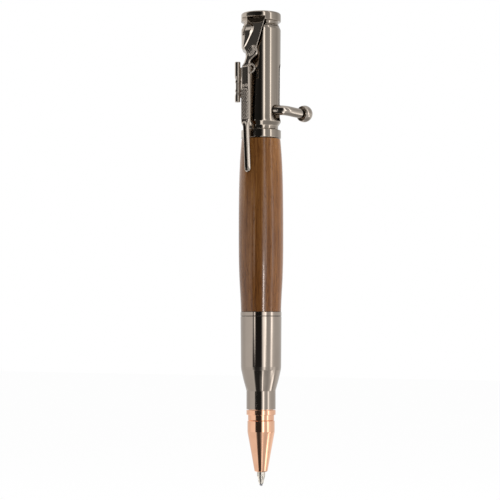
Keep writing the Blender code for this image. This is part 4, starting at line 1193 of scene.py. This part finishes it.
# %% Outline of the rifle
scope_side = [(89.80, 0.0), (89.95, 0.60), (90.60, 0.96), (103.00, 0.96), (103.50, 1.20),
              (104.60, 1.36), (113.60, 1.36), (114.00, 1.12), (119.60, 1.10), (120.60, 0.85),
              (121.60, 0.42), (122.60, 0.22), (123.40, 0.28), (124.40, 0.60), (125.20, 1.28),
              (126.00, 1.76), (134.70, 2.20)]
trigger_side = [(89.80, 0.0), (89.95, -0.60), (90.60, -0.96), (103.00, -0.96), (103.50, -1.12),
                (104.60, -1.36), (120.60, -1.36), (121.60, -1.52), (122.50, -2.40),
                (123.20, -3.28), (123.80, -3.60), (124.60, -3.44), (125.40, -2.96),
                (126.20, -2.84), (134.70, -3.84)]
face_reach = [(89.80, 7.15), (90.70, 7.15), (103.00, 8.05), (103.94, 8.35), (receiver_end, 8.40),
              (134.70, 3.60)]
casting_thickness = [(89.80, 0.50), (90.70, 0.50), (103.00, 0.65), (103.94, 1.00),
                     (receiver_end - 0.3, 1.00), (receiver_end, 1.10), (134.70, 1.10)]


def straight_table(table, value):
    """A value between the rows of a table, on straight lines."""
    for (x0, y0), (x1, y1) in zip(table, table[1:]):
        if value <= x1:
            return y0 + (y1 - y0) * (value - x0) / (x1 - x0)
    return table[-1][1]


row_count, column_count = 760, 64
row_heights = [rifle_low + (rifle_high - rifle_low) * (index / row_count)
               for index in range(row_count + 1)]


def smoothed_side(table, reach=3):
    """An outline side at every row, with its corners eased."""
    raw = [straight_table(table, height) for height in row_heights]
    eased = []
    for index in range(len(raw)):
        span = min(reach, index, len(raw) - 1 - index)
        window = raw[index - span:index + span + 1]
        eased.append(sum(window) / len(window))
    return eased


left_side = smoothed_side(scope_side)
right_side = smoothed_side(trigger_side)
print("rows:", row_count, "columns:", column_count)

# %% [markdown]
# The relief's parts are a round barrel beside a groove on the thin strip, checkering on the fore-end,
# a plain receiver with two screws, a raised pistol grip with its own panel, and a cheekpiece on the
# stock. Carving them in a height function keeps each one a few numbers that can be moved, which a
# displaced picture or a sculpted mesh wouldn't.

# %% Carving
def ease(value, low, high):
    """0 below low, 1 above high, smooth between."""
    t = min(max((value - low) / (high - low), 0.0), 1.0)
    return t * t * (3 - 2 * t)


def inside_distance(point, polygon):
    """Distance from a point to a polygon's edge, positive inside."""
    x, y = point
    best, inside = 1e9, False
    for (x0, y0), (x1, y1) in zip(polygon, polygon[1:] + polygon[:1]):
        dx, dy = x1 - x0, y1 - y0
        t = min(max(((x - x0) * dx + (y - y0) * dy) / (dx * dx + dy * dy), 0), 1)
        best = min(best, math.hypot(x - x0 - t * dx, y - y0 - t * dy))
        if (y0 > y) != (y1 > y) and x < (x1 - x0) * (y - y0) / (y1 - y0) + x0:
            inside = not inside
    return best if inside else -best


def checkering(across, height, pitch=0.52, lean_deg=30):
    """Depth of two crossing sets of V grooves, 0 to 1."""
    lean = math.radians(lean_deg)
    depth = 0.0
    for sign in (-1, 1):
        phase = (across * math.cos(lean) + sign * height * math.sin(lean)) / pitch
        depth = max(depth, 1 - 4 * abs(phase - math.floor(phase) - 0.5))
    return max(depth, 0.0)


print(f"checkering between two grooves: {checkering(0.0, 0.0):.1f}")

# %% [markdown]
# The shapes on the casting are polygons of places: millimetres across the face, towards the sight,
# and millimetres above the writing point.

# %% Shapes of the relief
grip_shape = [(1.00, 119.95), (0.30, 121.2), (0.04, 122.2), (-0.08, 123.5), (-0.28, 124.8),
              (-0.86, 125.8), (-1.50, 126.25), (-2.15, 126.15), (-2.85, 125.75), (-3.6, 124.9),
              (-3.9, 123.7), (-3.4, 122.9), (-2.4, 122.2), (-1.75, 121.4), (-1.6, 119.95)]
grip_panel = [(-0.60, 123.85), (-1.40, 123.05), (-2.60, 123.45), (-3.05, 124.45), (-1.75, 125.6)]
cheek_shape = [(2.6, 133.5), (1.6, 133.35), (0.6, 133.1), (-0.1, 132.75), (-0.5, 132.2),
               (-0.72, 131.5), (-0.68, 130.7), (-0.42, 129.9), (-0.12, 129.1), (0.36, 127.6),
               (0.85, 126.3), (1.3, 125.6), (2.6, 125.3)]
receiver_screws = [(-0.61, 114.45), (0.43, 114.35)]
print("receiver screws:", len(receiver_screws))

# %% [markdown]
# Every part adds to one height or takes from it, so that parts can overlap: a screw stands in a
# round groove, and the grip's checkering lies inside its raised rim.

# %% Relief
def relief_height(across, height):
    """Height of the casting's parts above its plain face, in millimetres."""
    lift = 0.0
    if height < 104.2:
        barrel_share = 1 - ease(height, 103.2, 104.2)
        round_part = max(0.0, 1 - ((across + 0.42) / 0.40) ** 2)
        trough = max(0.74 - across, 0.0) * 0.44 * ease(across, -0.46, -0.30)
        lift += barrel_share * ease(height, 90.2, 91.4) * (0.24 * math.sqrt(round_part) - trough)
    if 104.9 < height < 113.6:
        border = min(height - 104.9, 113.6 - height, 1.12 - abs(across))
        if border > 0:
            lift -= 0.13 * checkering(across, height) * ease(border, 0.02, 0.14)
            lift -= 0.05 * math.exp(-((border - 0.06) / 0.05) ** 2)
    for x, y in receiver_screws:
        distance = math.hypot(across - x, height - y)
        if distance < 0.42:
            lift += 0.10 * (1 - ease(distance, 0.24, 0.34))
            if abs(height - y) < 0.07 and distance < 0.26:
                lift -= 0.09
        lift -= 0.07 * math.exp(-((distance - 0.40) / 0.05) ** 2)
    if 119.8 < height < 127.0:
        edge = inside_distance((across, height), grip_shape)
        rise = 0.10 + 0.24 * ease(height, 120.0, 123.0)
        lift += rise * ease(edge, -0.04, 0.08)
        lift += 0.21 * max(0.0, 1 - abs(edge - 0.21) / 0.23)
        panel = inside_distance((across, height), grip_panel)
        lift += 0.14 * max(0.0, 1 - abs(panel) / 0.15)
        if panel > 0:
            lift -= 0.10 * checkering(across, height, 0.46, 32) * ease(panel, 0.12, 0.20)
    if height > 125.0:
        edge = inside_distance((across, height), cheek_shape)
        lift += min(max(edge, 0.0), 0.42 + 0.30 * math.exp(-((height - 130.7) / 1.0) ** 2))
    return lift


print(f"relief at a receiver screw: {relief_height(*receiver_screws[0]):.2f} mm")

# %% [markdown]
# The grid has a row of points at each height. Its columns lie closer together near the two edges,
# where the face rounds over. How far a point lies from the nearest edge says how much it drops. A
# flat back and a slanted side close the casting.

# %% Casting
outline_points = list(zip(left_side, row_heights)) + list(zip(right_side, row_heights))
near = KDTree(len(outline_points))
for index, (across, height) in enumerate(outline_points):
    near.insert((across, height, 0), index)
near.balance()

toe_edge = [(89.80, 0.36), (103.0, 0.46), (104.2, 0.74), (120.4, 0.74), (121.4, 0.26),
            (134.7, 0.26)]
scope_edge = [(89.80, 0.30), (103.0, 0.30), (104.2, 0.34), (125.0, 0.34), (126.4, 0.14),
              (134.7, 0.14)]
crowd_start, crowd_span = 0.12, 0.76
column_shares = [0.5 - 0.5 * math.cos(math.pi * (crowd_start + crowd_span * i / column_count))
                 for i in range(column_count + 1)]
low_share, high_share = column_shares[0], column_shares[-1]
column_shares = [(share - low_share) / (high_share - low_share) for share in column_shares]
verts, faces = [], []
for index, height in enumerate(row_heights):
    left, right = left_side[index], right_side[index]
    if left - right < 0.12:
        left, right = left + 0.06, right - 0.06
    face = straight_table(face_reach, height)
    for share in column_shares:
        across = right + (left - right) * share
        index_near, gap = near.find((across, height, 0))[1:]
        edge_arc = straight_table(toe_edge if index_near > row_count else scope_edge, height)
        drop = edge_arc - math.sqrt(edge_arc ** 2 - max(edge_arc - gap, 0) ** 2)
        reach = face + relief_height(across, height) * ease(gap, 0.0, 0.2) - drop
        verts.append(clip_point(across, reach, height))
    back = face - straight_table(casting_thickness, height)
    draft = 0.8 * ease(height, 120.6, 122.0) * min(1.0, (left - right) / 2)
    for across in (left, right + draft):
        verts.append(clip_point(across, back, height))
per_row = column_count + 3
for index in range(row_count):
    a, b = index * per_row, (index + 1) * per_row
    for first in range(per_row):
        following = (first + 1) % per_row
        faces.append((a + first, a + following, b + following, b + first))
faces.append(tuple(reversed(range(per_row))))
faces.append(tuple(row_count * per_row + i for i in range(per_row)))
casting = outward_mesh("rifle_casting", verts, faces)
finish_piece("rifle_casting", casting, cast_gunmetal_with_painted_sheen, "clip", ["rifle_clip"],
             sharp_deg=62)

# %% [markdown]
# ### Telescopic sight and mount
# The sight is a small turned tube with a wider bell at each end. Two rings and a rail hold it to
# the receiver. The tube is spun like the pen's own pieces, but round an axis of its own.

# %% Sight
sight_across, sight_reach = 2.75, 7.90
sight_low = rifle_low + sight_share * (rifle_high - rifle_low)


def sight_part(name, outline, sides=64, edge=0.05):
    """A piece spun round the sight's own axis."""
    mesh = new_mesh(name, *spin(solid_outline(outline, edge), sides, False))
    mesh.transform(Matrix.Scale(MM, 4))
    mesh.transform(Matrix.Translation(clip_point(sight_across, sight_reach, sight_low)))
    return mesh


sight = sight_part("sight_tube", [
    (0.55, 0.06, 0), (0.68, 0.0, 0.03), (0.78, 0.10, 0.1), (0.78, 1.80, 0.2), (0.58, 2.60, 0.3),
    (0.58, 6.40, 0.3), (0.82, 7.40, 0.3), (0.82, 11.40, 0.1), (0.72, 11.60, 0.03), (0.62, 11.55, 0),
    (0.60, 11.25, 0),
])
finish_piece("sight_tube", sight, cast_gunmetal_with_painted_sheen, "clip")

# %% [markdown]
# The rings are short bands on the same axis. The rail is a plain block with a slanted top, so a hull
# with bevelled edges gives it.

# %% Rings and rail
for index, foot in enumerate((2.9, 5.5)):
    ring = sight_part(f"sight_ring_{index}", [(0.60, foot, 0), (0.72, foot, 0.05),
                                              (0.72, foot + 0.7, 0.05), (0.60, foot + 0.7, 0)])
    finish_piece(f"sight_ring_{index}", ring, cast_gunmetal_with_painted_sheen, "clip")

rail_outline = ((0.95, 7.45), (2.45, 7.45), (2.45, 7.78), (0.95, 8.30))
rail = hull_mesh("sight_rail", [clip_point(across, reach, sight_low + rise)
                                for across, reach in rail_outline for rise in (1.2, 9.9)])
bm = bmesh.new()
bm.from_mesh(rail)
bmesh.ops.dissolve_limit(bm, angle_limit=0.01, verts=bm.verts, edges=bm.edges)
bmesh.ops.bevel(bm, geom=bm.edges, offset=0.12 * MM, segments=3, profile=0.5, affect="EDGES")
bm.to_mesh(rail)
bm.free()
finish_piece("sight_rail", rail, cast_gunmetal_with_painted_sheen, "clip")

# %% [markdown]
# ### Trigger guard and trigger
# The guard is a thin loop of wire with the trigger inside. Both are round wires along a path, so the
# function that made the spring makes them too.

# %% Guard and trigger
guard_path = [(-1.05, 118.05), (-1.68, 118.11), (-2.22, 118.16), (-2.80, 118.68), (-3.10, 119.32),
              (-2.90, 120.0), (-2.20, 120.56), (-1.40, 120.66), (-1.05, 120.66)]
guard_reach, guard_steps = 7.90, 48
guard_across = [(index, across) for index, (across, height) in enumerate(guard_path)]
guard_height = [(index, height) for index, (across, height) in enumerate(guard_path)]
points = []
for index in range(guard_steps + 1):
    share = index / guard_steps * (len(guard_path) - 1)
    points.append(clip_point(smooth_table(guard_across, share), guard_reach,
                             smooth_table(guard_height, share)))
finish_piece("trigger_guard", tube_mesh("trigger_guard", points, 0.26, 4), cast_gunmetal_with_painted_sheen, "clip")

points = [clip_point(across, guard_reach, height)
          for across, height in ((-1.2, 119.9), (-1.7, 119.8), (-2.0, 119.5), (-2.1, 119.1))]
finish_piece("trigger", tube_mesh("trigger", points, 0.17, 4), cast_gunmetal_with_painted_sheen, "clip")

# %% [markdown]
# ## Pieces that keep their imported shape
# The writing ball and the pieces deep inside have simple shapes that are right as packed, so they
# stay and only take a finish.

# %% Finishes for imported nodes
for name, material in {
    "writing_ball": tungsten, "push_rod": bolt_steel, "refill_plug": plug_plastic,
    "ink_column": paste_ink, "bolt_core": bolt_steel, "barrel_tube": brass,
}.items():
    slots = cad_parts[name].data.materials
    if len(slots):
        slots[0] = material
    else:
        slots.append(material)
    print(name, "->", material.name)

# %% [markdown]
# ## Colour handling
# The Standard view shows colours as they are set.

# %% Finish
bpy.context.scene.view_settings.view_transform = "Standard"
